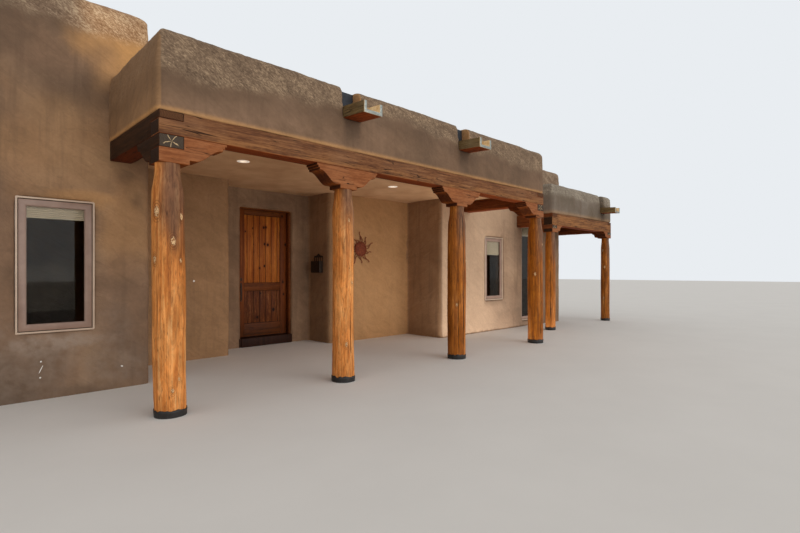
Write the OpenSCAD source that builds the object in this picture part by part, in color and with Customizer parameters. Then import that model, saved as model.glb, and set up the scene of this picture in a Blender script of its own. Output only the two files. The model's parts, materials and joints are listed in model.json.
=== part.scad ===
// Adobe house with a timber portal along its front.
// Stuccoed walls with rounded parapets, peeled log columns with carved corbels,
// a plank door in a deep recess, and a small terrace roof round one corner.
// Lengths are in millimetres. X runs to the right along the front, Y goes into
// the house and Z goes up. The origin is on the ground, at the middle of the
// whole footprint. Plan distances called "set" are measured back from the front
// face of the portal beam, and plan distances called "x" from its left end.

/* [Walls] */
// Thickness of the house walls
wall_t = 300; // [260:10:420]
// Radius of the outside wall corners, seen in plan
corner_r = 90; // [30:5:130]
// Radius of the outer edge along the parapet tops
shoulder_r = 110; // [60:5:130]
// Radius of the inner edge along the parapet tops
inner_shoulder_r = 80; // [40:5:100]
// How far a parapet leans back below its rounded edge
lean = 20; // [0:2:30]
// Height over which a parapet leans back
lean_h = 330; // [200:10:500]
// Width of the tall block on the left
left_w = 4070; // [3600:10:5200]
// How far the tall block reaches behind the portal
left_overlap = 470; // [350:10:700]
// Set of the tall block's front wall
left_set = 1740; // [1300:10:2200]
// Height of the tall block's parapet
left_top = 4740; // [4600:10:5200]
// Width of the hall wall left of the entry recess
hall_w = 1690; // [1300:10:2100]
// Set of the hall wall
hall_set = 3035; // [2700:10:3300]
// Width of the entry recess
recess_w = 2025; // [1900:10:2300]
// Set of the wall that holds the door
door_set = 3680; // [3500:10:4100]
// Width of the wall that carries the ornament
ornament_w = 2200; // [1900:10:2500]
// Set of the wall that carries the ornament
ornament_set = 2930; // [2650:10:3200]
// Width of the right-hand block
right_w = 5335; // [5000:10:6200]
// Set of the right-hand block's front wall
right_set = 1865; // [1500:10:2200]
// Height of the main block's parapet
main_top = 4340; // [4150:10:4450]
// Set of the back walls
back_set = 9200; // [8200:10:11000]

/* [Floors and roofs] */
// Height of the inside floor over the ground
floor_up = 150; // [100:10:200]
// Depth of the flat roof below the parapet top
deck_down = 450; // [400:10:500]
// Thickness of the flat roof
deck_t = 250; // [150:10:300]

/* [Door] */
// Width of the door leaf
leaf_w = 1067; // [900:1:1100]
// Height of the door leaf
leaf_h = 2495; // [2100:5:2550]
// Thickness of the door leaf
leaf_t = 45; // [40:1:60]
// Running gap round the leaf
leaf_gap = 7; // [6:1:10]
// Depth of the leaf behind the wall face
leaf_set = 170; // [120:5:190]
// Depth of the door frame behind the wall face
lining_set = 60; // [0:5:90]
// Distance from the recess's left side to the doorway
door_edge = 485; // [350:5:550]
// Thickness of the door frame boards
jamb_t = 30; // [25:1:45]
// Height of a hinge
hinge_h = 100; // [80:5:140]
// Radius of a hinge's knuckles
knuckle_r = 7; // [6:0.5:9]
// Radius of a hinge pin
pin_r = 4; // [3:0.5:4.5]
// Distance of the outer hinges from the leaf's ends
hinge_end = 200; // [150:5:300]
// Running clearance in a hinge
hinge_gap = 0.3; // [0.2:0.05:0.5]
// How far the door stop stands into the opening
stop_w = 12; // [10:1:20]
// Height of the door sill over the inside floor
sill_up = 15; // [10:1:30]
// Width of the door's stiles
stile_w = 140; // [110:5:160]
// Height of the door's top rail
top_rail_h = 105; // [90:5:160]
// Height of the door's middle rail
mid_rail_h = 160; // [120:5:200]
// Height of the door's bottom rail
bottom_rail_h = 262; // [200:2:300]
// Height of the lower panel
low_panel_h = 632; // [500:2:700]
// How deep the panels lie behind the stiles
panel_down = 12; // [8:1:14]
// Number of joints between the boards of a door panel
board_joints = 6; // [3:1:8]
// Distance of the pull's middle from the leaf's left edge
pull_x = 62; // [45:1:75]
// Height of the pull's plate over the leaf's foot
pull_z = 695; // [650:5:900]
// Height of the pull's plate
pull_h = 360; // [280:10:400]
// Height of the bolt's middle over the pull's foot
bolt_up = 428; // [400:4:480]

/* [Windows] */
// Width of a window
window_w = 760; // [600:10:900]
// Height of a window
window_h = 1540; // [1200:10:1700]
// Height of a window's lower edge over the ground
window_sill = 750; // [600:10:900]
// Depth of the window frames behind the wall face
window_set = 60; // [30:5:100]
// Width of the stucco splay round a window
splay_w = 130; // [60:5:160]
// Width of the window frame's face, casing and sash together
frame_w = 95; // [75:1:110]
// Depth of the window frame
frame_d = 90; // [70:5:120]
// Width of the casing round the sash
casing_w = 18; // [12:1:24]
// Width of the gap between the casing and the sash
sash_gap = 8; // [4:1:10]
// Depth of the gap round the sash
sash_gap_d = 12; // [6:1:20]
// How far the sash lies behind the casing
sash_set = 8; // [4:1:12]
// Thickness of the glass
glass_t = 20; // [12:1:26]
// How far the glass reaches into its frame
bite = 12; // [8:1:20]
// Distance from the tall block's corners to its windows
window_edge = 620; // [450:10:800]
// Distance from the right block's left corner to its window
right_window_x = 1678; // [1500:2:2000]
// Width of the tall window under the terrace roof
tall_w = 960; // [800:10:1200]
// Height of the tall window
tall_h = 2580; // [2300:10:2650]
// Distance from the tall window to the right block's right corner
tall_edge = 1110; // [950:10:1300]

/* [Portal] */
// Distance between the first and the second column
bay_1 = 2230; // [2000:10:2500]
// Distance between the second and the third column
bay_2 = 2390; // [2100:10:2600]
// Distance between the third and the fourth column
bay_3 = 2545; // [2300:10:2800]
// Width of the beams and corbels
timber_w = 240; // [220:5:260]
// Height of the portal beams
beam_h = 235; // [200:5:280]
// Height of the log columns
column_h = 2530; // [2300:10:2700]
// Radius of a column at its foot
column_r = 144; // [125:1:160]
// Radius of a column at its neck
neck_r = 117; // [100:1:120]
// How much thicker the log columns are halfway up than at their feet
log_swell = 6; // [0:1:12]
// Height of the portal parapet over the beam
parapet_h = 840; // [760:10:900]
// Thickness of the portal and terrace parapets
parapet_t = 300; // [280:10:340]
// How far the stucco stands out over the beams
lip = 12; // [5:1:20]
// Height of the portal's flat roof over the beam
portal_deck = 460; // [400:10:500]
// Height of the black collar at a column's foot
collar_h = 75; // [50:5:100]
// Thickness of the collar
collar_t = 6; // [4:1:10]

/* [Corbels] */
// Height of a portal corbel
corbel_h = 275; // [240:5:300]
// Reach of a middle corbel to each side of its column
corbel_reach = 500; // [460:5:560]
// Reach of a corner corbel from the portal's outer face
corner_reach = 690; // [640:5:740]
// Width of the block over a corner column
corner_block = 298; // [270:2:330]
// Half width of the block over a middle column
block_half = 138; // [125:1:150]
// Width of the ledge beside the block
ledge_w = 68; // [50:2:80]
// Height of the block below its ledge, as a share of the corbel
ledge_share = 0.17; // [0.12:0.01:0.22]
// Height where the curve ends, as a share of the corbel
curve_share = 0.7; // [0.6:0.01:0.78]
// How far each rib steps out at the tip
rib_out = 20; // [14:1:24]
// Height of the return corbel's end in the corner joint
corbel_lap = 130; // [100:5:150]
// Height of the return beam's end in the corner joint
beam_lap = 85; // [60:5:110]

/* [Canales] */
// Width of a wooden water spout
spout_w = 300; // [240:10:360]
// Height of a water spout
spout_h = 148; // [120:2:180]
// Thickness of a spout's boards
spout_board = 38; // [30:1:45]
// How far a spout stands out of the stucco
spout_out = 410; // [300:10:500]
// Fall of a spout for each millimetre of its length
spout_fall = 0.05; // [0:0.01:0.08]
// Distance from the portal's left end to the first spout
spout_1_x = 2250; // [2000:10:2500]
// Distance from the portal's left end to the second spout
spout_2_x = 4640; // [4400:10:5000]
// Thickness of the metal lining
liner_t = 3; // [2:0.5:4]
// How far the lining stands out past the boards
liner_nose = 12; // [8:1:20]

/* [Fittings] */
// Radius of a ceiling light's rim
light_r = 90; // [75:1:110]
// Height of a ceiling light's can
light_h = 100; // [70:5:140]
// Distance from the portal's left end to the first light
light_1_x = 1660; // [1300:2:2000]
// Distance from the portal's left end to the second light
light_2_x = 4644; // [4300:2:4900]
// Set of the ceiling lights
light_set = 1570; // [1200:10:1700]
// Radius of the wall sun's disc
sun_r = 155; // [120:1:170]
// Length of the wall sun's long rays
ray_l = 215; // [160:1:230]
// Length of the wall sun's short rays
short_ray_l = 150; // [110:1:200]
// Number of rays, long and short ones in turn
rays = 10; // [8:2:12]
// Width of the rod that a ray is bent from
ray_rod = 10; // [7:0.5:12]
// Thickness of the rod and of the disc's plate
ray_t = 6; // [4:0.5:8]
// Height of the wall sun's centre over the ground
sun_up = 1927; // [1800:1:2100]
// Distance from the ornament wall's left corner to the wall sun
sun_x = 798; // [600:2:1200]
// Width of the wall basket
basket_w = 300; // [250:5:350]
// Height of the wall basket
basket_h = 395; // [340:5:450]
// Height of the wall basket's foot over the ground
basket_up = 1425; // [1300:5:1600]
// How far the wall basket stands out
basket_out = 90; // [60:5:120]
// Distance from the door wall to the middle of the wall basket
basket_x = 375; // [280:5:450]

/* [Terrace] */
// Distance from the portal's right end to the terrace roof
terrace_gap = 1980; // [1700:10:2300]
// Width of the terrace roof
terrace_w = 3515; // [3400:10:4000]
// Set of the terrace roof's front
terrace_set = 860; // [600:10:1000]
// How far the terrace roof runs back round the corner
terrace_back = 3100; // [2900:10:3400]
// Height of the terrace columns
terrace_column_h = 2430; // [2300:10:2500]
// Radius of a terrace column at its foot
terrace_column_r = 118; // [106:1:125]
// Radius of a terrace column at its neck
terrace_neck_r = 100; // [90:1:104]
// Height of the terrace corbels
terrace_corbel_h = 170; // [140:5:200]
// Reach of a terrace corbel from the outer face
terrace_reach = 490; // [450:10:560]
// Height of the terrace beams
terrace_beam_h = 290; // [240:5:300]
// Height of the terrace parapet over its beams
terrace_parapet_h = 750; // [650:10:800]
// Height of the terrace's flat roof over its beams
terrace_deck = 282; // [240:2:340]
// Distance from the terrace's left end to its spout
spout_3_x = 2750; // [2400:10:2850]

/* [Hidden] */

eps = 1;
arc_n = 5;
// How far the straight part of an opening stands out past the frame in it
frame_seat = 5;

// Plan, from the portal's front left corner
left_x = left_overlap - left_w;
recess_x0 = left_overlap + hall_w;
recess_x1 = recess_x0 + recess_w;
portal_end_x = recess_x1 + ornament_w;
right_x1 = portal_end_x + right_w;
portal_w = bay_1 + bay_2 + bay_3 + timber_w;
column_xs = [timber_w / 2, timber_w / 2 + bay_1, timber_w / 2 + bay_1 + bay_2,
    portal_w - timber_w / 2];
terrace_x0 = portal_w + terrace_gap;
terrace_x1 = terrace_x0 + terrace_w;

// Middle of the footprint, column feet and spouts included
foot_out = terrace_column_r + max(collar_t, log_swell) - timber_w / 2;
mid_x = (left_x + terrace_x1 + max(lip, foot_out)) / 2;
mid_y = (back_set - lip) / 2;

// Heights
beam_z = column_h + corbel_h;
parapet_z = beam_z + beam_h;
portal_top = parapet_z + parapet_h;
main_deck_z = main_top - deck_down;
left_deck_z = left_top - deck_down;
terrace_beam_z = terrace_column_h + terrace_corbel_h;
terrace_parapet_z = terrace_beam_z + terrace_beam_h;
terrace_top = terrace_parapet_z + terrace_parapet_h;
terrace_lap = terrace_corbel_h / 2;

// Doorway, from the recess's left corner
sill_z = floor_up + sill_up;
leaf_z = sill_z + leaf_gap;
doorway_w = leaf_w + 2 * leaf_gap + 2 * jamb_t;
doorway_top = leaf_z + leaf_h + leaf_gap + jamb_t;
leaf_x = door_edge + jamb_t + leaf_gap;
pin_x = leaf_x + leaf_w + 2;
plate_t = 4;
pin_y = leaf_set + leaf_t + knuckle_r + 1;
hinge_zs = [hinge_end, leaf_h / 2, leaf_h - hinge_end];

// Walls as [x, y, turn, length, top]
left_front = [left_x, left_set, 0, left_w, left_top];
left_side = [left_x, back_set, -90, back_set - left_set, left_top];
left_back = [left_overlap, back_set, 180, left_w, left_top];
left_return = [left_overlap, left_set, 90, hall_set + wall_t - left_set, left_top];
roof_step = [left_overlap, hall_set + wall_t, 90, back_set - hall_set - 2 * wall_t, left_top];
hall = [left_overlap, hall_set, 0, hall_w, main_top];
recess_left = [recess_x0, hall_set, 90, door_set - hall_set, main_top];
door_wall = [recess_x0, door_set, 0, recess_w, main_top];
recess_right = [recess_x1, door_set, -90, door_set - ornament_set, main_top];
ornament = [recess_x1, ornament_set, 0, ornament_w, main_top];
portal_end = [portal_end_x, ornament_set, -90, ornament_set - right_set, main_top];
right_front = [portal_end_x, right_set, 0, right_w, main_top];
right_side = [right_x1, right_set, 90, back_set - right_set, main_top];
back = [right_x1, back_set, 180, right_x1 - left_overlap, main_top];

// Window openings as [distance along the wall, width, height of the foot, height]
function window_at(x) = [x, window_w, window_sill, window_h];
function windows_in(len, n) =
    [for (i = [1:n]) window_at(len * (i - 0.5) / n - window_w / 2)];
left_front_windows = [window_at(window_edge), window_at(left_w - window_edge - window_w)];
left_side_windows = windows_in(left_side[3], 2);
left_back_windows = [window_at(left_w / 2 - window_w / 2)];
right_front_windows = [window_at(right_window_x)];
tall_window = [right_w - tall_edge - tall_w, tall_w, floor_up, tall_h];
right_side_windows = [window_at(right_side[3] * 0.45), window_at(right_side[3] * 0.75)];
back_windows = windows_in(back[3], 3);

// Colours
stucco_c = "#a98c6d";
soffit_c = "#b08d68";
beam_c = "#96694a";
dark_wood_c = "#5a3a26";
log_c = "#c07f3f";
door_c = "#a5622a";
iron_c = "#2b2624";
clad_c = "#b9ab98";
glass_c = "#5f7078";
zinc_c = "#b7bab8";
rust_c = "#5e3526";

// Points along an arc
function arc_points(cx, cy, r, a0, a1, n = arc_n) =
    [for (i = [0:n]) let (a = a0 + (a1 - a0) * i / n) [cx + r * cos(a), cy + r * sin(a)]];

// Points along a rounded corner in plan, to a tenth of a millimetre, so that
// walls and roofs that meet there share the same points
function tenth(v) = round(v * 10) / 10;
function plan_arc(cx, cy, r, a0, a1, n) =
    [for (p = arc_points(cx, cy, r, a0, a1, n)) [tenth(p[0]), tenth(p[1])]];

// Section through a wall: depth behind the outer face, height
function wall_section(t, base, top) = concat(
    [[0, base], [0, top - lean_h]],
    arc_points(lean + shoulder_r, top - shoulder_r, shoulder_r, 180, 90),
    arc_points(t - inner_shoulder_r, top - inner_shoulder_r, inner_shoulder_r, 90, 0),
    [[t, base]]);

// Plan of a wall. An end is 0 where it is square, 1 where it is mitred round an
// outside corner and -1 where it is mitred into an inside corner.
function wall_start(t, end) =
    end == 1 ? concat([[t, t]], plan_arc(corner_r, corner_r, corner_r, 225, 270, 3)) :
    end == -1 ? [[-t, t], [0, 0]] : [[0, t], [0, 0]];
function wall_finish(len, t, end) =
    end == 1 ? concat(plan_arc(len - corner_r, corner_r, corner_r, 270, 315, 3), [[len - t, t]]) :
    end == -1 ? [[len, 0], [len + t, t]] : [[len, 0], [len, t]];
function wall_plan(len, t, start, finish) =
    concat(wall_start(t, start), wall_finish(len, t, finish));

// Points of a corbel's side, from the foot of its block out to the tip
function corbel_side(half, reach, h) =
    let (z0 = h * ledge_share, z1 = h * curve_share, x0 = half + ledge_w,
        x1 = reach - 3 * rib_out, rib_h = (h - z1) / 3, n = 12)
    concat(
        [[half, 0], [half, z0]],
        [for (i = [0:n]) [x0 + (x1 - x0) * i / n, z0 + (z1 - z0) * (1 - cos(180 * i / n)) / 2]],
        [for (i = [1:3], j = [0, 1]) [x1 + rib_out * i, z1 + rib_h * (i - 1 + j)]]);

// Moves the plan's corner so that the origin is at the middle of the footprint
module place() {
    translate([-mid_x, -mid_y, 0]) children();
}

module on_wall(w) {
    place() translate([w[0], w[1], 0]) rotate(w[2]) children();
}

// Straight stretch of wall along X, with its outer face on Y = 0
module wall_run(len, t, base, top, start, finish) {
    intersection() {
        translate([0, 0, base]) linear_extrude(top - base) polygon(wall_plan(len, t, start, finish));
        translate([-t, 0, 0]) rotate([90, 0, 90]) linear_extrude(len + 2 * t)
            polygon(wall_section(t, base, top));
    }
}

// Points of a splay across an opening that starts at s0 and is w wide, as
// [distance across, depth]
function splay_points(s0, w) =
    let (d = window_set - frame_seat)
    [[s0 - splay_w, -eps], [s0 + w + splay_w, -eps], [s0 + w, d], [s0, d]];

// Window opening through a wall, splayed from the wall face to just before the
// frame unless it reaches down to the floor
module window_hole(o) {
    translate([o[0], -eps, o[2]]) cube([o[1], wall_t + 2 * eps, o[3]]);
    if (o[2] > floor_up) intersection() {
        translate([0, 0, o[2] - splay_w]) linear_extrude(o[3] + 2 * splay_w)
            polygon(splay_points(o[0], o[1]));
        translate([o[0] - splay_w, 0, 0]) rotate([90, 0, 90]) linear_extrude(o[1] + 2 * splay_w)
            polygon([for (p = splay_points(o[2], o[3])) [p[1], p[0]]]);
    }
}

// House wall from its list, with its window openings cut through
module house_wall(w, start, finish, windows = [], base = 0) {
    color(stucco_c) on_wall(w) difference() {
        wall_run(w[3], wall_t, base, w[4], start, finish);
        for (o = windows) window_hole(o);
    }
}

module left_front_wall() { house_wall(left_front, 1, 1, left_front_windows); }
module left_side_wall() { house_wall(left_side, 1, 1, left_side_windows); }
module left_return_wall() { house_wall(left_return, 1, 0); }
module roof_step_wall() { house_wall(roof_step, 0, 0, base = main_deck_z - deck_t); }
module hall_wall() { house_wall(hall, 0, 1); }
module recess_left_wall() { house_wall(recess_left, 1, -1); }
module recess_right_wall() { house_wall(recess_right, -1, 1); }
module ornament_wall() { house_wall(ornament, 1, -1); }
module portal_end_wall() { house_wall(portal_end, -1, 1); }
module right_front_wall() { house_wall(right_front, 1, 1, concat(right_front_windows, [tall_window])); }
module right_side_wall() { house_wall(right_side, 1, 1, right_side_windows); }
module back_wall() {
    color(stucco_c) difference() {
        house_wall(back, 1, 0, back_windows);
        for (i = [0, 1]) at_spout(back_spouts[i]) spout_notch(wall_t);
    }
}

// The tall block's back wall turns its own corner above the main roof
module left_back_wall() {
    color(stucco_c) on_wall(left_back) difference() {
        wall_run(left_w, wall_t, 0, left_top, 0, 1);
        for (o = left_back_windows) window_hole(o);
        translate([back_spouts[2][1], 0, spout_z(left_deck_z, wall_t)]) spout_notch(wall_t);
        translate([0, 0, main_top]) linear_extrude(left_top)
            polygon(concat([[-eps, -eps]], [[corner_r, -eps]],
                arc_points(corner_r, corner_r, corner_r, 270, 180), [[-eps, corner_r]]));
        translate([0, wall_t + eps, 0]) rotate([90, 0, 0]) linear_extrude(wall_t + 2 * eps)
            polygon(concat([[-eps, left_top - lean_h], [0, left_top - lean_h]],
                arc_points(lean + shoulder_r, left_top - shoulder_r, shoulder_r, 180, 90),
                [[lean + shoulder_r, left_top + eps], [-eps, left_top + eps]]));
    }
}

module door_side_walls() {
    color(stucco_c) on_wall(door_wall) {
        wall_run(door_edge, wall_t, 0, main_top, -1, 0);
        translate([door_edge + doorway_w, 0, 0])
            wall_run(recess_w - door_edge - doorway_w, wall_t, 0, main_top, 0, -1);
    }
}

module door_lintel_wall() {
    color(stucco_c) on_wall(door_wall) translate([door_edge, 0, 0])
        wall_run(doorway_w, wall_t, doorway_top, main_top, 0, 0);
}

module floor_slab() {
    color("#8d7d6c") place() linear_extrude(floor_up) polygon([
        [left_x + wall_t, left_set + wall_t], [left_overlap - wall_t, left_set + wall_t],
        [left_overlap - wall_t, hall_set + wall_t], [recess_x0 - wall_t, hall_set + wall_t],
        [recess_x0 - wall_t, door_set + wall_t], [recess_x1 + wall_t, door_set + wall_t],
        [recess_x1 + wall_t, ornament_set + wall_t], [portal_end_x + wall_t, ornament_set + wall_t],
        [portal_end_x + wall_t, right_set + wall_t], [right_x1 - wall_t, right_set + wall_t],
        [right_x1 - wall_t, back_set - wall_t], [left_x + wall_t, back_set - wall_t]]);
}

module roof_decks() {
    color(stucco_c) place() {
        translate([left_x + wall_t, left_set + wall_t, left_deck_z - deck_t])
            cube([left_w - 2 * wall_t, back_set - left_set - 2 * wall_t, deck_t]);
        translate([0, 0, main_deck_z - deck_t]) linear_extrude(deck_t) polygon([
            [left_overlap, hall_set + wall_t], [recess_x0 - wall_t, hall_set + wall_t],
            [recess_x0 - wall_t, door_set + wall_t], [recess_x1 + wall_t, door_set + wall_t],
            [recess_x1 + wall_t, ornament_set + wall_t], [portal_end_x + wall_t, ornament_set + wall_t],
            [portal_end_x + wall_t, right_set + wall_t], [right_x1 - wall_t, right_set + wall_t],
            [right_x1 - wall_t, back_set - wall_t], [left_overlap, back_set - wall_t]]);
    }
}

// Water spouts. Each stands with its outer stucco face on Y = 0 and its left
// side on X = 0, and runs from the parapet's inner face out past the stucco.
function spout_z(deck, t) = deck - spout_board - spout_fall * t;

module spout_block(w, y0, y1, z0, h) {
    rotate([90, 0, 90]) linear_extrude(w) polygon([
        [y0, z0 + spout_fall * y0], [y1, z0 + spout_fall * y1],
        [y1, z0 + h + spout_fall * y1], [y0, z0 + h + spout_fall * y0]]);
}

module spout(t) {
    difference() {
        spout_block(spout_w, -spout_out, t, 0, spout_h);
        translate([spout_board, 0, 0])
            spout_block(spout_w - 2 * spout_board, -spout_out - eps, t + eps, spout_board, spout_h);
    }
}

module spout_notch(t) {
    spout_block(spout_w, -eps, t + eps, 0, 2 * parapet_h);
}

// Folded metal inside a spout, with a face over the ends of its boards
module spout_liner(t) {
    inner_w = spout_w - 2 * spout_board;
    difference() {
        union() {
            translate([spout_board, 0, 0])
                spout_block(inner_w, -spout_out, t, spout_board, spout_h - spout_board);
            spout_block(spout_w, -spout_out - liner_nose, -spout_out, 0, spout_h);
        }
        translate([spout_board + liner_t, 0, 0])
            spout_block(inner_w - 2 * liner_t, -spout_out - 2 * liner_nose, t + eps,
                spout_board + liner_t, spout_h);
    }
}

// Spout places as [wall list, distance along it, deck height, parapet thickness]
portal_face = [-lip, -lip, 0];
terrace_face = [terrace_x0 - lip, terrace_set - lip, 0];
front_spouts = [
    [portal_face, spout_1_x + lip, parapet_z + portal_deck, parapet_t],
    [portal_face, spout_2_x + lip, parapet_z + portal_deck, parapet_t],
    [terrace_face, spout_3_x + lip, terrace_parapet_z + terrace_deck, parapet_t]];
back_spouts = [
    [back, back[3] / 3 - spout_w / 2, main_deck_z, wall_t],
    [back, back[3] * 2 / 3 - spout_w / 2, main_deck_z, wall_t],
    [left_back, left_w / 4 - spout_w / 2, left_deck_z, wall_t]];

module at_spout(s) {
    on_wall(s[0]) translate([s[1], 0, spout_z(s[2], s[3])]) children();
}

module canales() {
    color(dark_wood_c) for (s = concat(front_spouts, back_spouts)) at_spout(s) spout(s[3]);
}

module canal_liners() {
    color(zinc_c) for (s = concat(front_spouts, back_spouts)) at_spout(s) spout_liner(s[3]);
}

// Portal
module portal_front_parapet() {
    color(stucco_c) difference() {
        on_wall(portal_face) wall_run(portal_w + 2 * lip, parapet_t, parapet_z, portal_top, 1, 1);
        for (i = [0, 1]) at_spout(front_spouts[i]) spout_notch(parapet_t);
    }
}

module portal_side_parapets() {
    color(stucco_c) {
        on_wall([-lip, left_set, -90])
            wall_run(left_set + lip, parapet_t, parapet_z, portal_top, 0, 1);
        on_wall([portal_w + lip, -lip, 90])
            wall_run(right_set + lip, parapet_t, parapet_z, portal_top, 1, 0);
    }
}

// Rounded wall corner that stands into a roof, for a wall to its right or its left
function corner_right(x, y) = plan_arc(x + corner_r, y + corner_r, corner_r, 270, 180, 6);
function corner_left(x, y) = plan_arc(x - corner_r, y + corner_r, corner_r, 0, -90, 6);

module portal_roof() {
    edge = parapet_t - lip;
    color(soffit_c) place() difference() {
        translate([0, 0, parapet_z]) linear_extrude(portal_deck) polygon(concat(
            [[edge, edge], [portal_w - edge, edge], [portal_w - edge, right_set]],
            corner_right(portal_end_x, right_set), [[portal_end_x, ornament_set]],
            corner_right(recess_x1, ornament_set), [[recess_x1, door_set], [recess_x0, door_set]],
            corner_left(recess_x0, hall_set), [[left_overlap, hall_set]],
            corner_left(left_overlap, left_set), [[edge, left_set]]));
        for (x = [light_1_x, light_2_x])
            translate([x, light_set, parapet_z - eps])
                cylinder(h = light_h + eps, r = light_r - 15, $fn = 48);
    }
}

module portal_lights() {
    color("#efece6") place() for (x = [light_1_x, light_2_x])
        translate([x, light_set, parapet_z]) rotate_extrude($fn = 48) polygon([
            [light_r - 45, -4], [light_r, -4], [light_r, 0], [light_r - 16, 0],
            [light_r - 16, light_h - 5], [0, light_h - 5], [0, light_h - 8], [light_r - 45, light_h - 8]]);
}

// Timber with a lap cut in the upper side at both ends
module front_beam() {
    color(beam_c) place() difference() {
        translate([0, 0, beam_z]) cube([portal_w, timber_w, beam_h]);
        for (x = [-eps, portal_w - timber_w])
            translate([x, -eps, parapet_z - beam_lap]) cube([timber_w + eps, timber_w + 2 * eps, beam_h]);
    }
}

// Timber running back from a corner, with the matching lap
module return_beam(len, z, h, lap) {
    translate([0, 0, z]) difference() {
        cube([timber_w, len, h]);
        translate([-eps, -eps, -eps]) cube([timber_w + 2 * eps, timber_w + eps, h - lap + eps]);
    }
}

module side_beams() {
    color(dark_wood_c) place() {
        return_beam(left_set, beam_z, beam_h, beam_lap);
        translate([portal_w - timber_w, 0, 0]) return_beam(right_set, beam_z, beam_h, beam_lap);
    }
}

module corbel_board(points) {
    rotate([90, 0, 0]) translate([0, 0, -timber_w]) linear_extrude(timber_w)
        polygon(points);
}

// Corbel over a middle column, centred on X = 0
module middle_corbel(reach, h) {
    side = corbel_side(block_half, reach, h);
    left = [for (i = [len(side) - 1:-1:0]) [-side[i][0], side[i][1]]];
    corbel_board(concat(side, left));
}

// Corbel over a corner column, from the outer face on X = 0 towards +X, with its
// upper part cut away where the return corbel crosses it
module corner_corbel(reach, h, lap) {
    difference() {
        corbel_board(concat([[0, h], [0, 0]], corbel_side(corner_block, reach, h)));
        translate([-eps, -eps, h - lap]) cube([timber_w + eps, timber_w + 2 * eps, lap + eps]);
    }
}

// Corbel from the outer face on Y = 0 towards +Y, with its end over the other one
module return_corbel(reach, h, lap) {
    difference() {
        translate([timber_w, 0, 0]) rotate(90)
            corbel_board(concat([[0, h], [0, 0]], corbel_side(corner_block, reach, h)));
        translate([-eps, -eps, -eps]) cube([timber_w + 2 * eps, timber_w + eps, h - lap + eps]);
    }
}

module front_corbels() {
    color(beam_c) place() translate([0, 0, column_h]) {
        corner_corbel(corner_reach, corbel_h, corbel_lap);
        for (i = [1, 2]) translate([column_xs[i], 0, 0]) middle_corbel(corbel_reach, corbel_h);
        translate([portal_w, 0, 0]) mirror([1, 0, 0]) corner_corbel(corner_reach, corbel_h, corbel_lap);
    }
}

module return_corbels() {
    color(dark_wood_c) place() translate([0, 0, column_h]) {
        return_corbel(corner_reach, corbel_h, corbel_lap);
        translate([portal_w - timber_w, 0, 0]) return_corbel(corner_reach, corbel_h, corbel_lap);
    }
}

// Peeled log: a slight swell halfway up, then a quicker neck below the corbel
module log_column(h, r, neck) {
    neck_h = 320;
    foot_r = r - 4;
    shaft_top_r = r - 7.5;
    rotate_extrude($fn = 48) polygon([
        [0, 0], [foot_r, 0], [r, 90], [r + log_swell * 0.7, h * 0.25], [r + log_swell, h * 0.45],
        [r + log_swell * 0.4, h * 0.65], [shaft_top_r, h - neck_h],
        [(shaft_top_r + neck) / 2, h - neck_h / 2],
        [neck, h - neck_h / 5], [neck, h], [0, h]]);
}

module collar(r) {
    difference() {
        cylinder(h = collar_h, r = r + collar_t, $fn = 48);
        translate([0, 0, -eps]) cylinder(h = collar_h + 2 * eps, r = r, $fn = 48);
    }
}

portal_posts = [for (x = column_xs) [x, timber_w / 2]];
terrace_posts = [[terrace_x0 + timber_w / 2, terrace_set + timber_w / 2],
    [terrace_x1 - timber_w / 2, terrace_set + timber_w / 2],
    [terrace_x1 - timber_w / 2, terrace_back - timber_w / 2]];

module log_columns() {
    color(log_c) place() {
        for (p = portal_posts) translate(p) log_column(column_h, column_r, neck_r);
        for (p = terrace_posts) translate(p)
            log_column(terrace_column_h, terrace_column_r, terrace_neck_r);
    }
}

module column_collars() {
    color(iron_c) place() {
        for (p = portal_posts) translate(p) collar(column_r);
        for (p = terrace_posts) translate(p) collar(terrace_column_r);
    }
}

// Door
module door_frame() {
    stop_d = leaf_set - 6;
    color(dark_wood_c) on_wall(door_wall) translate([door_edge, 0, sill_z]) difference() {
        translate([0, lining_set, 0])
            cube([doorway_w, leaf_set + leaf_t - lining_set, doorway_top - sill_z]);
        translate([jamb_t, stop_d, -eps])
            cube([doorway_w - 2 * jamb_t, leaf_set + leaf_t, doorway_top - sill_z - jamb_t + eps]);
        translate([jamb_t + stop_w, -eps, -eps])
            cube([doorway_w - 2 * (jamb_t + stop_w), leaf_set + leaf_t,
                doorway_top - sill_z - jamb_t - stop_w + eps]);
    }
}

module door_sill() {
    nosing = 25;
    color("#7b6a58") on_wall(door_wall) translate([door_edge, 0, 0]) {
        cube([doorway_w, wall_t, sill_z]);
        translate([jamb_t, -nosing, 0]) cube([doorway_w - 2 * jamb_t, nosing, sill_z]);
    }
}

// Plate of a hinge on the face beside the pin, from its inner edge at X = 0,
// cleared round the knuckles of the other half
module hinge_plate(side, knuckles) {
    difference() {
        translate([side > 0 ? leaf_gap - 2 : 2 - leaf_gap - jamb_t + 2, leaf_set + leaf_t - pin_y, 0])
            cube([jamb_t - 2, plate_t, hinge_h]);
        for (i = knuckles) translate([0, 0, (i * hinge_h) / 3 - hinge_gap])
            cylinder(h = hinge_h / 3 + 2 * hinge_gap, r = knuckle_r + 1, $fn = 24);
    }
}

module at_hinges() {
    on_wall(door_wall) for (z = hinge_zs) translate([pin_x, pin_y, leaf_z + z - hinge_h / 2]) children();
}

// Fixed half: lower and upper knuckle with the pin
module door_hinges() {
    color(iron_c) at_hinges() {
        cylinder(h = hinge_h, r = pin_r, $fn = 24);
        for (i = [0, 2]) translate([0, 0, i * hinge_h / 3])
            cylinder(h = hinge_h / 3, r = knuckle_r, $fn = 24);
        hinge_plate(1, [1]);
    }
}

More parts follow.
